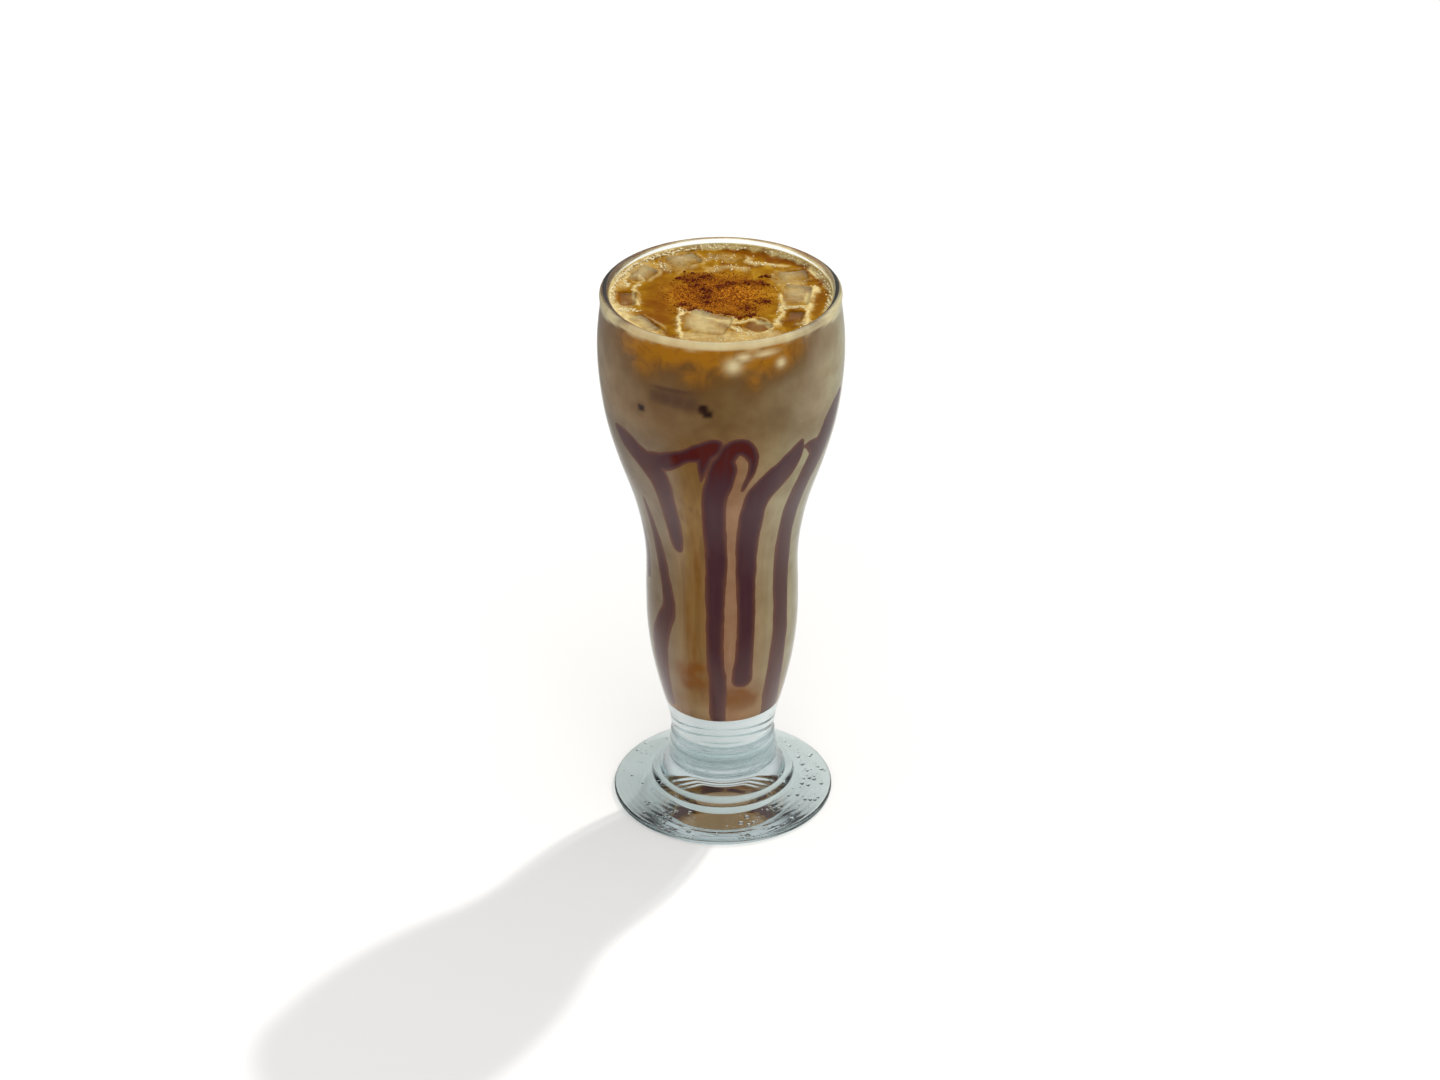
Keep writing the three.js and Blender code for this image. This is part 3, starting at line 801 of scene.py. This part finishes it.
coffee = new_piece(
    "coffee_filling", coffee_points, coffee_faces, [coffee_body, coffee_top], replaced=["coffee"],
    values={
        "cream": cream, "roast_and_shade": roast_and_shade, "spice": spice, "crema": crema,
        "stain": stain, "sunk": sunk, "speck": speck, "drawn": drawn,
    },
)
for face in coffee.data.polygons:
    face.material_index = int(min(face.vertices) >= first_top - COFFEE_AROUND)


# The foam: milk bubbles left against the wall as the glass was filled, and loose ones drifting in the cream.
WALL_BUBBLES = 900
LOOSE_BUBBLES = 450
BUBBLE_SIZE = (0.14, 0.5)
BUBBLE_SQUASH = 0.8
BUBBLE_LIFT = 0.1
# Bubbles on the wall come in three shares of their size, and stray a little way in from it.
WALL_BUBBLE_SHARES = (0.6, 0.8, 1)
WALL_BUBBLE_STRAY = 0.5
# Loose bubbles are smaller, stay inside their cream and keep clear of the ice and the wall.
LOOSE_BUBBLE_SHARE = 0.7
LOOSE_BUBBLE_STRAY = 0.6
CLEAR_OF_ICE = 0.5
CLEAR_OF_WALL = 1
# How crowded the wall is, by degrees round from the front.
BUBBLES_AROUND = ((-180, -120, -60, 0, 60, 110, 180), (0.7, 1, 0.8, 1, 0.9, 0.25, 0.3))


def on_ice(x, y, margin):
    """Whether a place on the surface is over a cube or nearer to it than a margin."""
    return any(float(ice_distance(np.array(x), np.array(y), cube)) < margin for cube in ICE)


def balls(places, sizes, squash):
    """Round beads as points and faces, each centred at its place and squashed along Z."""
    shape = bmesh.new()
    bmesh.ops.create_icosphere(shape, subdivisions=2, radius=1)
    ball = np.array([vertex.co for vertex in shape.verts])
    faces = [[vertex.index for vertex in face.verts] for face in shape.faces]
    shape.free()
    points = []
    all_faces = []
    for index, (place, size) in enumerate(zip(places, sizes)):
        points.append(ball * (size, size, size * squash) + place)
        all_faces += [[index * len(ball) + corner for corner in face] for face in faces]
    return np.vstack(points), all_faces


draw = random.Random(8)
places = []
sizes = []
while len(places) < WALL_BUBBLES:
    angle = draw.uniform(-180, 180)
    if draw.random() < np.interp(angle, *BUBBLES_AROUND):
        size = draw.uniform(*BUBBLE_SIZE) * draw.choice(WALL_BUBBLE_SHARES)
        radius = wall_radius - size - abs(draw.gauss(0, WALL_BUBBLE_STRAY))
        places.append((radius * math.sin(math.radians(angle)), -radius * math.cos(math.radians(angle))))
        sizes.append(size)
while len(places) < WALL_BUBBLES + LOOSE_BUBBLES:
    line, half_width, strength = draw.choice(CREAM_STROKES)
    step = draw.randrange(len(line) - 1)
    share = draw.random()
    stray = half_width * LOOSE_BUBBLE_STRAY
    spot = [a + (b - a) * share + draw.gauss(0, stray) for a, b in zip(line[step], line[step + 1])]
    if math.hypot(*spot) < wall_radius - CLEAR_OF_WALL and not on_ice(*spot, CLEAR_OF_ICE):
        places.append(tuple(spot))
        sizes.append(draw.uniform(*BUBBLE_SIZE) * LOOSE_BUBBLE_SHARE)
places = np.array(places)
heights = LEVEL_Z + surface_height(places[:, 0], places[:, 1]) + BUBBLE_LIFT * np.array(sizes)
points, faces = balls(np.column_stack([places, heights]), sizes, BUBBLE_SQUASH)

# Milk bubbles: thin wet skins over cream, so pale with a small bright glint each.
foam_material, tree = new_material("wet_milk_bubbles")
foam_skin = add_node(tree, "ShaderNodeBsdfPrincipled", {
    "Base Color": "#ecdfb4", "Roughness": 0.12, "IOR": 1.34, "Transmission Weight": 0.15,
})
add_node(tree, "ShaderNodeOutputMaterial", {"Surface": foam_skin.outputs[0]})
new_piece("foam_bubbles", points, faces, [foam_material])


# The chocolate sauce: drizzled round the inside of the glass before the coffee went in, thick at the top of
# each run, then drawn down by its own weight in long tongues that lie flat against the wall.
SAUCE_REACH = 0.13
SAUCE_EDGE = 0.9
SAUCE_SPREAD = 0.4
SAUCE_RAGGED = 0.28
SAUCE_THICKNESS = 0.5
SAUCE_AROUND = 390
SAUCE_Z = (37.8, 163.0)
SAUCE_ROWS = 200
RUN_STEPS = 5
RUN_REACH = 12
# How dark the sauce shows: full this far inside its edge, thinner lower down and round the sides.
SAUCE_FULL = 1.6
SAUCE_BY_HEIGHT = ((38, 60, 90, 140, 146, 158), (0.36, 0.46, 0.58, 0.6, 0.72, 0.82))
SAUCE_BY_ANGLE = ((25, 40), (1.0, 0.6))

# Each run is a smooth line of (degrees round from the front, height, half-width).
SAUCE_RUNS = [
    [(-63, 153, 1.4), (-56, 150.5, 3.6), (-48, 147, 4.3), (-41, 143.5, 4.8), (-36.5, 138, 3.9),
     (-35.5, 131, 2.9), (-35.3, 122, 2.7), (-35.3, 113, 2.3), (-35, 109, 1.4)],
    [(-37, 147, 3.2), (-31, 147.5, 3.2), (-26, 149.2, 3), (-19.5, 151.3, 2.2), (-12.5, 153.2, 3),
     (-6, 155.4, 3.1), (-2, 157.3, 1.5)],
    [(-8.5, 153, 2.4), (-9.7, 148, 1.5), (-11, 142, 0.2)],
    [(1, 150, 3), (0.5, 147, 4.2), (-1.6, 141, 4.3), (-4.5, 134, 3.7), (-5.1, 119, 3.35), (-4.3, 107, 3.2),
     (-5.5, 94, 2.9), (-6, 80, 2.55), (-6.1, 65, 2.4), (-4.4, 57, 2.4), (-4.3, 49, 2.5), (-5.4, 43, 2.1),
     (-5.4, 39, 2)],
    [(1.5, 150.5, 2.8), (5, 155, 3), (9.5, 156, 2.9), (13.8, 154, 2.3), (16.3, 150, 1.5), (15.9, 145.5, 1),
     (12.8, 140, 0.6), (11.4, 137.6, 0.3)],
    [(44, 152.3, 1), (41, 148.4, 3), (36, 144, 4.4), (29, 139.5, 4.9), (22.5, 134.5, 4.4), (19.8, 128, 3.9),
     (19.4, 121, 3.8), (19, 113, 3.4), (19.2, 103, 3.15), (20, 89, 2.75), (19.3, 75, 2.65), (18, 63, 2.8),
     (17.4, 57, 3.1)],
    [(77, 160, 2.5), (70, 155, 4.8), (66, 149, 5.6), (61, 143, 5.4), (56, 136.5, 4.4), (52.3, 128, 3.9),
     (52.6, 116, 3.4), (54, 106, 3.45), (55.2, 98, 3.5), (54.6, 85, 3.2), (54.2, 73, 3.2), (52.5, 64, 3.4),
     (52.3, 54, 3.4), (54, 47, 3.6), (58, 40, 3.6)],
    [(58, 147, 3.2), (52.5, 149, 1.8), (48, 150, 0.5)],
    [(-57.5, 126, 0.3), (-57.5, 114, 1.3), (-55.7, 105, 1.9), (-54, 97, 2.1), (-50.5, 89.5, 2.1),
     (-48.5, 82, 2.6), (-54, 76, 3.3), (-61, 68, 3.8), (-64, 60, 3.8), (-65, 52, 3.2), (-66, 43, 2.8)],
]

# The runs round the back, which start higher or lower as the bottle was swung past: degrees round, top,
# half-width, end. Each leans over at its head, then goes down in steps and wanders a little.
BACK_RUNS = [
    (96, 157, 3.2, 40), (121, 149, 2.6, 62), (143, 156, 3.6, 44), (168, 151, 2.8, 52), (191, 158, 3.4, 40),
    (214, 150, 2.5, 72), (236, 155, 3.3, 47), (262, 152, 2.9, 56), (279, 146, 2.2, 90),
]
BACK_LEAN = (7, 13)
# The head's points: share of the lean, height over the top, share of the half-width.
BACK_HEAD = [(1, 2.5, 0.35), (0.6, 0, 1.05), (0, -6, 1.35)]
BACK_BELOW_HEAD = 16
BACK_STEP = 13
BACK_WANDER = 1.8
BACK_WIDTHS = (0.8, 1.02)
BACK_TIP = 0.75


def back_run(angle, top, half_width, end, seed):
    """A run down the back of the glass, as a line like those of SAUCE_RUNS."""
    draw = random.Random(seed)
    lean = draw.choice((-1, 1)) * draw.uniform(*BACK_LEAN)
    run = [(angle + lean * share, top + up, half_width * width) for share, up, width in BACK_HEAD]
    z = top - BACK_BELOW_HEAD
    while z > end:
        place = angle + draw.uniform(-BACK_WANDER, BACK_WANDER)
        run.append((place, z, half_width * draw.uniform(*BACK_WIDTHS)))
        z -= BACK_STEP
    return run + [(angle, end, half_width * BACK_TIP)]


# How far each place on the wall is inside the nearest run's edge, in mm, and less than 0 outside it.
sauce_runs = SAUCE_RUNS + [back_run(*run, seed) for seed, run in enumerate(BACK_RUNS)]
sauce_angles = np.linspace(-180, 180, SAUCE_AROUND, endpoint=False)
sauce_heights = np.linspace(*SAUCE_Z, SAUCE_ROWS)
angle_grid, z_grid = np.meshgrid(sauce_angles, sauce_heights)
radius_grid = inner_radius(z_grid)
within = np.full(angle_grid.shape, -FAR)
for run in sauce_runs:
    path = smooth_line(run, RUN_STEPS)
    for start, end in zip(path, path[1:]):
        rows = np.abs(sauce_heights - (start[1] + end[1]) / 2) < RUN_REACH
        scale = np.radians(1) * radius_grid[rows]
        off = (angle_grid[rows] - start[0] + 180) % 360 - 180
        px = off * scale
        pz = z_grid[rows] - start[1]
        sx = (end[0] - start[0]) * scale
        sz = end[1] - start[1]
        share = np.clip((px * sx + pz * sz) / (sx * sx + sz * sz + TINY), 0, 1)
        half = start[2] + (end[2] - start[2]) * share
        within[rows] = np.maximum(within[rows], half - np.hypot(px - share * sx, pz - share * sz))
level = np.zeros(angle_grid.size)
ragged = patches(angle_grid.ravel() * 0.4, z_grid.ravel() * 0.45, level, size=2.6, seed=23, octaves=2)
within += SAUCE_SPREAD + SAUCE_RAGGED * ragged.reshape(within.shape)

# The film itself: inside a run it stands out of the coffee into the wall, and past the run's edge it sinks
# behind the coffee, where it is cut off. Near the floor it follows the rounded corner.
lift = np.clip(within / SAUCE_EDGE, -1, 1)
reach = WALL_BITE + SAUCE_REACH * lift
corner_z = FLOOR_Z + FLOOR_CORNER
drop = np.clip(corner_z - z_grid, 0, None)
corner_middle = inner_radius(np.maximum(z_grid, corner_z)) - FLOOR_CORNER
film_radius = corner_middle + np.sqrt((FLOOR_CORNER + reach) ** 2 - drop**2)
film_x = film_radius * np.sin(np.radians(angle_grid))
film_y = -film_radius * np.cos(np.radians(angle_grid))
film_points = np.stack([film_x, film_y, z_grid], -1).reshape(-1, 3)
kept = within > -SAUCE_EDGE * 0.9
film_faces = []
for row in range(SAUCE_ROWS - 1):
    for column in range(SAUCE_AROUND):
        right = (column + 1) % SAUCE_AROUND
        corners = ((row, column), (row, right), (row + 1, right), (row + 1, column))
        if any(within[corner] > 0 for corner in corners) or all(kept[corner] for corner in corners):
            film_faces.append(tuple(r * SAUCE_AROUND + c for r, c in corners))
used = sorted({corner for face in film_faces for corner in face})
renumber = {old: new for new, old in enumerate(used)}
film_faces = [tuple(renumber[corner] for corner in face) for face in film_faces]
thickness = np.clip(within.ravel()[used] / SAUCE_FULL, 0, 1)
thickness *= np.interp(film_points[used, 2], *SAUCE_BY_HEIGHT)
thickness *= np.interp(np.abs(angle_grid.ravel()[used]), *SAUCE_BY_ANGLE)

# Chocolate sauce behind wet glass: nearly black purple-brown where it is thick, red-brown where it thins out
# at the edges, smooth and without a shine of its own, since it touches the wall all over.
sauce_material, tree = new_material("chocolate_sauce_on_glass")
place = add_node(tree, "ShaderNodeTexCoord").outputs["Object"]
thick = add_node(tree, "ShaderNodeAttribute", attribute_name="thick")
drawn_down = add_node(tree, "ShaderNodeMapping", {"Vector": place, "Scale": (1, 1, 0.12)})
streaks = add_node(tree, "ShaderNodeTexNoise", {
    "Vector": drawn_down.outputs[0], "Scale": 1 / (2.2 * MM), "Detail": 3,
})
uneven = add_node(tree, "ShaderNodeMath", {
    0: streaks.outputs[0], 1: 0.3, 2: thick.outputs["Fac"],
}, operation="MULTIPLY_ADD")
sauce_tone = add_node(tree, "ShaderNodeValToRGB", {0: uneven.outputs[0]}, stops=[
    (0.15, "#704232"), (0.94, "#500e08"), (0.45, "#56302c"), (0.74, "#45222b"),
])
sauce_skin = add_node(tree, "ShaderNodeBsdfPrincipled", {
    "Base Color": sauce_tone.outputs[0], "Roughness": 0.45, "Specular IOR Level": 0.0,
})
add_node(tree, "ShaderNodeOutputMaterial", {"Surface": sauce_skin.outputs[0]})
sauce = new_piece(
    "sauce_runs", film_points[used], film_faces, [sauce_material],
    values={"thick": thickness},
)
backing = sauce.modifiers.new("film_thickness", "SOLIDIFY")
backing.thickness = SAUCE_THICKNESS * MM
backing.offset = -1


# The spice powder: cocoa and cinnamon shaken over the middle. Most of it has drunk coffee and sunk into the
# surface; the last grains lie loose on top, and damp ones stick together in dark red lumps.
POWDER_SPREAD = (17.5, 15.5)
POWDER_EDGE = 1.15
# Where the powder fell thickest: place and spread.
POWDER_CLUSTERS = [
    (-10, 17, 2.4), (-9, 12, 2.4), (-6, 5, 2.2), (0, 8, 1.8), (3, 10, 1.8), (9, 11, 1.8), (13, 10, 1.8),
    (15, 15, 1.5), (-12, -5, 1.6), (-9, -9, 1.6), (-5, -12, 1.8), (2, -13, 1.8), (6, -15, 1.7),
    (10, -13, 1.7), (-5, 0, 1.6), (14, -3, 2.2), (8, -8, 2.5), (-8, 8, 2.5), (-13, 14, 1.8), (-5, 15, 2.0),
    (-4, 4, 1.3), (-5, -4, 1.2),
]
# Shares of a spread, across and along the view. Lumps lie closer to the middle of their cluster than grains.
IN_CLUSTERS = 0.62
CLUSTER_SPREAD = (0.75, 0.6)
LUMP_SPREAD = (0.55, 0.4)
LOOSE_SPREAD = 0.5
GRAINS = 7000
LUMPS = 300
GRAIN_SIZE = (0.13, 0.34)
LUMP_SIZE = (0.32, 0.75)
GRAIN_UNEVEN = (0.6, 1.25)
GRAIN_FLAT = 0.7
GRAIN_LIFT = 0.15
GRAIN_OFF_ICE = 0.4
FULL_TURN = 6.3
OCTAHEDRON = [(1, 0, 0), (0, 1, 0), (-1, 0, 0), (0, -1, 0), (0, 0, 1), (0, 0, -1)]
OCTAHEDRON_FACES = [(0, 1, 4), (1, 2, 4), (2, 3, 4), (3, 0, 4), (1, 0, 5), (2, 1, 5), (3, 2, 5), (0, 3, 5)]


def powder_grain(draw, middle, size):
    """The corners of one crushed grain, turned and made uneven at random, and a little flat."""
    turn = Euler([draw.uniform(0, FULL_TURN) for _ in range(3)]).to_matrix()
    corners = []
    for corner in OCTAHEDRON:
        point = turn @ (Vector(corner) * size * draw.uniform(*GRAIN_UNEVEN))
        corners.append((middle[0] + point.x, middle[1] + point.y, middle[2] + point.z * GRAIN_FLAT))
    return corners


draw = random.Random(4)
places = []
sizes = []
while len(places) < GRAINS:
    if draw.random() < IN_CLUSTERS:
        cluster_x, cluster_y, spread = draw.choice(POWDER_CLUSTERS)
        px = draw.gauss(cluster_x, spread * CLUSTER_SPREAD[0])
        py = draw.gauss(cluster_y, spread * CLUSTER_SPREAD[1])
    else:
        px = draw.gauss(POWDER_MIDDLE[0], POWDER_SPREAD[0] * LOOSE_SPREAD)
        py = draw.gauss(POWDER_MIDDLE[1], POWDER_SPREAD[1] * LOOSE_SPREAD)
    off_x = (px - POWDER_MIDDLE[0]) / POWDER_SPREAD[0]
    off_y = (py - POWDER_MIDDLE[1]) / POWDER_SPREAD[1]
    if math.hypot(off_x, off_y) < POWDER_EDGE and not on_ice(px, py, GRAIN_OFF_ICE):
        places.append((px, py))
        sizes.append(draw.uniform(*GRAIN_SIZE))
for _ in range(LUMPS):
    cluster_x, cluster_y, spread = draw.choice(POWDER_CLUSTERS)
    px = draw.gauss(cluster_x, spread * LUMP_SPREAD[0])
    py = draw.gauss(cluster_y, spread * LUMP_SPREAD[1])
    places.append((px, py))
    sizes.append(draw.uniform(*LUMP_SIZE))
places = np.array(places)
heights = LEVEL_Z + surface_height(places[:, 0], places[:, 1])
powder_points = []
powder_faces = []
powder_tones = []
for (px, py), height, size in zip(places, heights, sizes):
    first = len(powder_points)
    powder_points += powder_grain(draw, (px, py, height + size * GRAIN_LIFT), size)
    powder_faces += [tuple(first + corner for corner in face) for face in OCTAHEDRON_FACES]
    dark = draw.random() ** 2 if size < GRAIN_SIZE[1] else draw.uniform(0.6, 1)
    powder_tones += [dark] * len(OCTAHEDRON)

# Ground cocoa and cinnamon: matt, each grain from orange-brown cinnamon to damp red-black cocoa.
powder_material, tree = new_material("damp_cocoa_and_cinnamon")
tone = add_node(tree, "ShaderNodeAttribute", attribute_name="tone")
powder_tone = add_node(tree, "ShaderNodeValToRGB", {0: tone.outputs["Fac"]}, stops=[
    (0.0, "#945810"), (1.0, "#3c0e02"), (0.35, "#7e3e06"), (0.7, "#5a1c02"),
])
powder_skin = add_node(tree, "ShaderNodeBsdfPrincipled", {
    "Base Color": powder_tone.outputs[0], "Roughness": 0.7, "Specular IOR Level": 0.1,
})
add_node(tree, "ShaderNodeOutputMaterial", {"Surface": powder_skin.outputs[0]})
new_piece(
    "spice_grains", powder_points, powder_faces, [powder_material], smooth=False,
    values={"tone": powder_tones},
)


# The water drops: condensation and splashes that ran down and stand on the foot, mostly to its right.
DROPS = 130
DROP_SIZE = (0.25, 1.0)
DROP_SQUASH = 0.45
DROPS_FROM_DOME = 0.8
DROPS_FROM_EDGE = 2
# Where drops gather: degrees round from the front, spread in degrees, share of the drops.
DROP_GROUPS = [(95, 28, 0.45), (25, 16, 0.2), (-35, 14, 0.2), (-110, 30, 0.15)]
draw = random.Random(12)
foot_line = np.array(foot_outline()[::-1])
upper = foot_line[(foot_line[:, 1] > FOOT_EDGE_RADIUS) & (foot_line[:, 0] > DOME_TOE[0] - 1)]
places = []
sizes = []
for _ in range(DROPS):
    group = draw.choices(DROP_GROUPS, [share for _, _, share in DROP_GROUPS])[0]
    angle = math.radians(draw.gauss(group[0], group[1]))
    radius = draw.uniform(DOME_TOE[0] + DROPS_FROM_DOME, FOOT_RADIUS - DROPS_FROM_EDGE)
    height = float(np.interp(radius, upper[:, 0], upper[:, 1]))
    places.append((radius * math.sin(angle), -radius * math.cos(angle), height))
    sizes.append(DROP_SIZE[0] + (DROP_SIZE[1] - DROP_SIZE[0]) * draw.random() ** 2)
points, faces = balls(places, sizes, DROP_SQUASH)

# Water standing on glass: clear beads that gather the light to a point.
water_material, tree = new_material("standing_water_drops")
water_skin = add_node(tree, "ShaderNodeBsdfPrincipled", {
    "Base Color": "#ffffff", "Roughness": 0.0, "IOR": 1.33, "Transmission Weight": 1.0,
})
light_path = add_node(tree, "ShaderNodeLightPath")
clear = add_node(tree, "ShaderNodeBsdfTransparent", {"Color": "#f8fafa"})
water_mix = add_node(tree, "ShaderNodeMixShader", {
    0: light_path.outputs["Is Shadow Ray"], 1: water_skin.outputs[0], 2: clear.outputs[0],
})
add_node(tree, "ShaderNodeOutputMaterial", {"Surface": water_mix.outputs[0]})
new_piece("water_drops", points, faces, [water_material])


# The studio: a plain pale floor, a soft key from behind on the right, as in the photo, and a bright ceiling
# over darker walls, so that the glass has edges.
FLOOR_SIZE = 8.0
FLOOR_DROP = 0.05
PALE_RADIUS = 1.3

# Matt white paper: an even pale ground without a shine, greyer far out. Where glass mirrors it, the paper in
# front and to the sides is grey, so that its reflection doesn't wash the glass out. Places are in metres.
GREY_IN_FRONT = (0.03, 0.12)
GREY_AT_SIDES = (0.03, 0.15)
GREY_ON_LEFT = 0.85
GREY_ON_RIGHT = 0.6
floor_material, tree = new_material("matt_white_paper_floor")
place = add_node(tree, "ShaderNodeTexCoord").outputs["Object"]
away = add_node(tree, "ShaderNodeVectorMath", {0: place}, operation="LENGTH")
far_out = add_node(tree, "ShaderNodeMapRange", {
    "Value": away.outputs["Value"], "From Min": PALE_RADIUS, "From Max": FLOOR_SIZE / 2,
})
paper = add_node(tree, "ShaderNodeValToRGB", {0: far_out.outputs[0]}, stops=[
    (0.0, "#f2f2f2"), (1.0, "#9a9a9a"),
])
floor_skin = add_node(tree, "ShaderNodeBsdfDiffuse", {"Color": paper.outputs[0], "Roughness": 0.9})
dim_skin = add_node(tree, "ShaderNodeBsdfDiffuse", {"Color": "#6c6762"})
light_path = add_node(tree, "ShaderNodeLightPath")
mirrored = add_node(tree, "ShaderNodeMath", {
    0: light_path.outputs["Is Glossy Ray"], 1: light_path.outputs["Is Transmission Ray"],
}, operation="SUBTRACT")
spot = add_node(tree, "ShaderNodeSeparateXYZ", {0: place})
in_front = add_node(tree, "ShaderNodeMapRange", {
    "Value": spot.outputs["Y"], "From Min": GREY_IN_FRONT[0], "From Max": -GREY_IN_FRONT[1],
})
on_left = add_node(tree, "ShaderNodeMapRange", {
    "Value": spot.outputs["X"], "From Min": -GREY_AT_SIDES[0], "From Max": -GREY_AT_SIDES[1],
    "To Max": GREY_ON_LEFT,
})
on_right = add_node(tree, "ShaderNodeMapRange", {
    "Value": spot.outputs["X"], "From Min": GREY_AT_SIDES[0], "From Max": GREY_AT_SIDES[1],
    "To Max": GREY_ON_RIGHT,
})
to_sides = add_node(tree, "ShaderNodeMath", {
    0: on_left.outputs[0], 1: on_right.outputs[0],
}, operation="ADD")
grey_part = add_node(tree, "ShaderNodeMath", {
    0: in_front.outputs[0], 1: to_sides.outputs[0],
}, operation="MAXIMUM")
dimmed = add_node(tree, "ShaderNodeMath", {
    0: mirrored.outputs[0], 1: grey_part.outputs[0],
}, operation="MULTIPLY")
floor_mix = add_node(tree, "ShaderNodeMixShader", {
    0: dimmed.outputs[0], 1: floor_skin.outputs[0], 2: dim_skin.outputs[0],
})
add_node(tree, "ShaderNodeOutputMaterial", {"Surface": floor_mix.outputs[0]})
half = FLOOR_SIZE / 2
low = -FLOOR_DROP * MM
corners = [(-half, -half, low), (half, -half, low), (half, half, low), (-half, half, low)]
floor_mesh = bpy.data.meshes.new("studio_floor")
floor_mesh.from_pydata(corners, [], [(0, 1, 2, 3)])
floor_mesh.materials.append(floor_material)
floor = bpy.data.objects.new("studio_floor", floor_mesh)
bpy.context.scene.collection.objects.link(floor)

# The light all round: white overhead and grey lower down, brighter towards the back and the right. What shows
# through the glass is a pale backdrop that darkens to both sides and so draws the glass's edges, and what
# shows past it is the plain pale backdrop.
world = bpy.data.worlds.new("studio_light")
bpy.context.scene.world = world
world.use_nodes = True
tree = world.node_tree
tree.nodes.clear()
direction = add_node(tree, "ShaderNodeTexCoord").outputs["Generated"]
parts = add_node(tree, "ShaderNodeSeparateXYZ", {0: direction})
sky = add_node(tree, "ShaderNodeValToRGB", {0: parts.outputs["Z"]}, stops=[
    (0.0, "#a8a29b"), (1.0, "#ffffff"), (0.2, "#8f8a85"), (0.45, "#bcbab8"), (0.66, "#ffffff"),
])
across = add_node(tree, "ShaderNodeMapRange", {
    "Value": parts.outputs["X"], "From Min": -1.0, "From Max": 1.0, "To Min": 0.66, "To Max": 1.45,
})
inward = add_node(tree, "ShaderNodeMapRange", {
    "Value": parts.outputs["Y"], "From Min": -1.0, "From Max": 1.0, "To Min": 0.75, "To Max": 1.15,
})
brightness = add_node(tree, "ShaderNodeMath", {
    0: across.outputs[0], 1: inward.outputs[0],
}, operation="MULTIPLY")
glow = add_node(tree, "ShaderNodeBackground", {"Color": sky.outputs[0], "Strength": brightness.outputs[0]})
sideways = add_node(tree, "ShaderNodeMath", {0: parts.outputs["X"]}, operation="ABSOLUTE")
backdrop = add_node(tree, "ShaderNodeValToRGB", {0: sideways.outputs[0]}, stops=[
    (0.4, "#f4f4f4"), (0.8, "#6c7374"),
])
light_path = add_node(tree, "ShaderNodeLightPath")
plain = add_node(tree, "ShaderNodeMix", {
    0: light_path.outputs["Is Camera Ray"], 6: backdrop.outputs[0], 7: "#f4f4f4",
}, data_type="RGBA")
wall = add_node(tree, "ShaderNodeBackground", {"Color": plain.outputs[2], "Strength": 1.0})
behind = add_node(tree, "ShaderNodeMapRange", {
    "Value": parts.outputs["Y"], "From Min": -0.5, "From Max": 0.1,
})
straight = add_node(tree, "ShaderNodeMath", {
    0: light_path.outputs["Is Transmission Ray"], 1: behind.outputs[0],
    2: light_path.outputs["Is Camera Ray"],
}, operation="MULTIPLY_ADD")
seen = add_node(tree, "ShaderNodeMixShader", {
    0: straight.outputs[0], 1: glow.outputs[0], 2: wall.outputs[0],
})
add_node(tree, "ShaderNodeOutputWorld", {"Surface": seen.outputs[0]})

# Each light: name, degrees round from the back towards the right, degrees up, strength, spread, colour.
LIGHTS = [
    ("soft_key", 36, 45, 2.6, 2.5, (1.0, 0.97, 0.92)),
    ("front_fill", 170, 25, 0.75, 70, (1.0, 0.95, 0.9)),
]
for name, azimuth, elevation, strength, spread, colour in LIGHTS:
    light = bpy.data.lights.new(name, "SUN")
    light.energy = strength
    light.angle = math.radians(spread)
    light.color = colour
    lamp = bpy.data.objects.new(name, light)
    lamp.rotation_euler = (math.radians(elevation - 90), 0, math.radians(-azimuth))
    lamp.visible_glossy = False
    lamp.visible_transmission = False
    bpy.context.scene.collection.objects.link(lamp)

# The camera stands where the photo was taken from: in front, 30 degrees up, far away with a long lens. It
# leans a little, and the glass's axis is a little off the middle. PIXELS are those of the photo's own width.
CAMERA_ELEVATION = 30.32
CAMERA_DISTANCE = 1370
FOCAL_PIXELS = 4036
FRAME_WIDTH = 1440
SENSOR_WIDTH = 36
AIM_PIXELS = 5.2
AXIS_LEAN = 0.25
AXIS_OFFSET_PIXELS = 1.9
rise = math.radians(CAMERA_ELEVATION)
pitch = rise - math.atan(AIM_PIXELS / FOCAL_PIXELS)
camera_data = bpy.data.cameras.new("photo_camera")
camera_data.sensor_fit = "HORIZONTAL"
camera_data.sensor_width = SENSOR_WIDTH
camera_data.lens = FOCAL_PIXELS * SENSOR_WIDTH / FRAME_WIDTH
camera_data.shift_x = -AXIS_OFFSET_PIXELS / FRAME_WIDTH
camera = bpy.data.objects.new("photo_camera", camera_data)
tilt = Matrix.Rotation(math.pi / 2 - pitch, 4, "X") @ Matrix.Rotation(math.radians(-AXIS_LEAN), 4, "Z")
back = (0, -CAMERA_DISTANCE * math.cos(rise) * MM, (HEIGHT / 2 + CAMERA_DISTANCE * math.sin(rise)) * MM)
camera.matrix_world = Matrix.Translation(back) @ tilt
bpy.context.scene.collection.objects.link(camera)
bpy.context.scene.camera = camera
bpy.context.scene.view_settings.view_transform = "Standard"
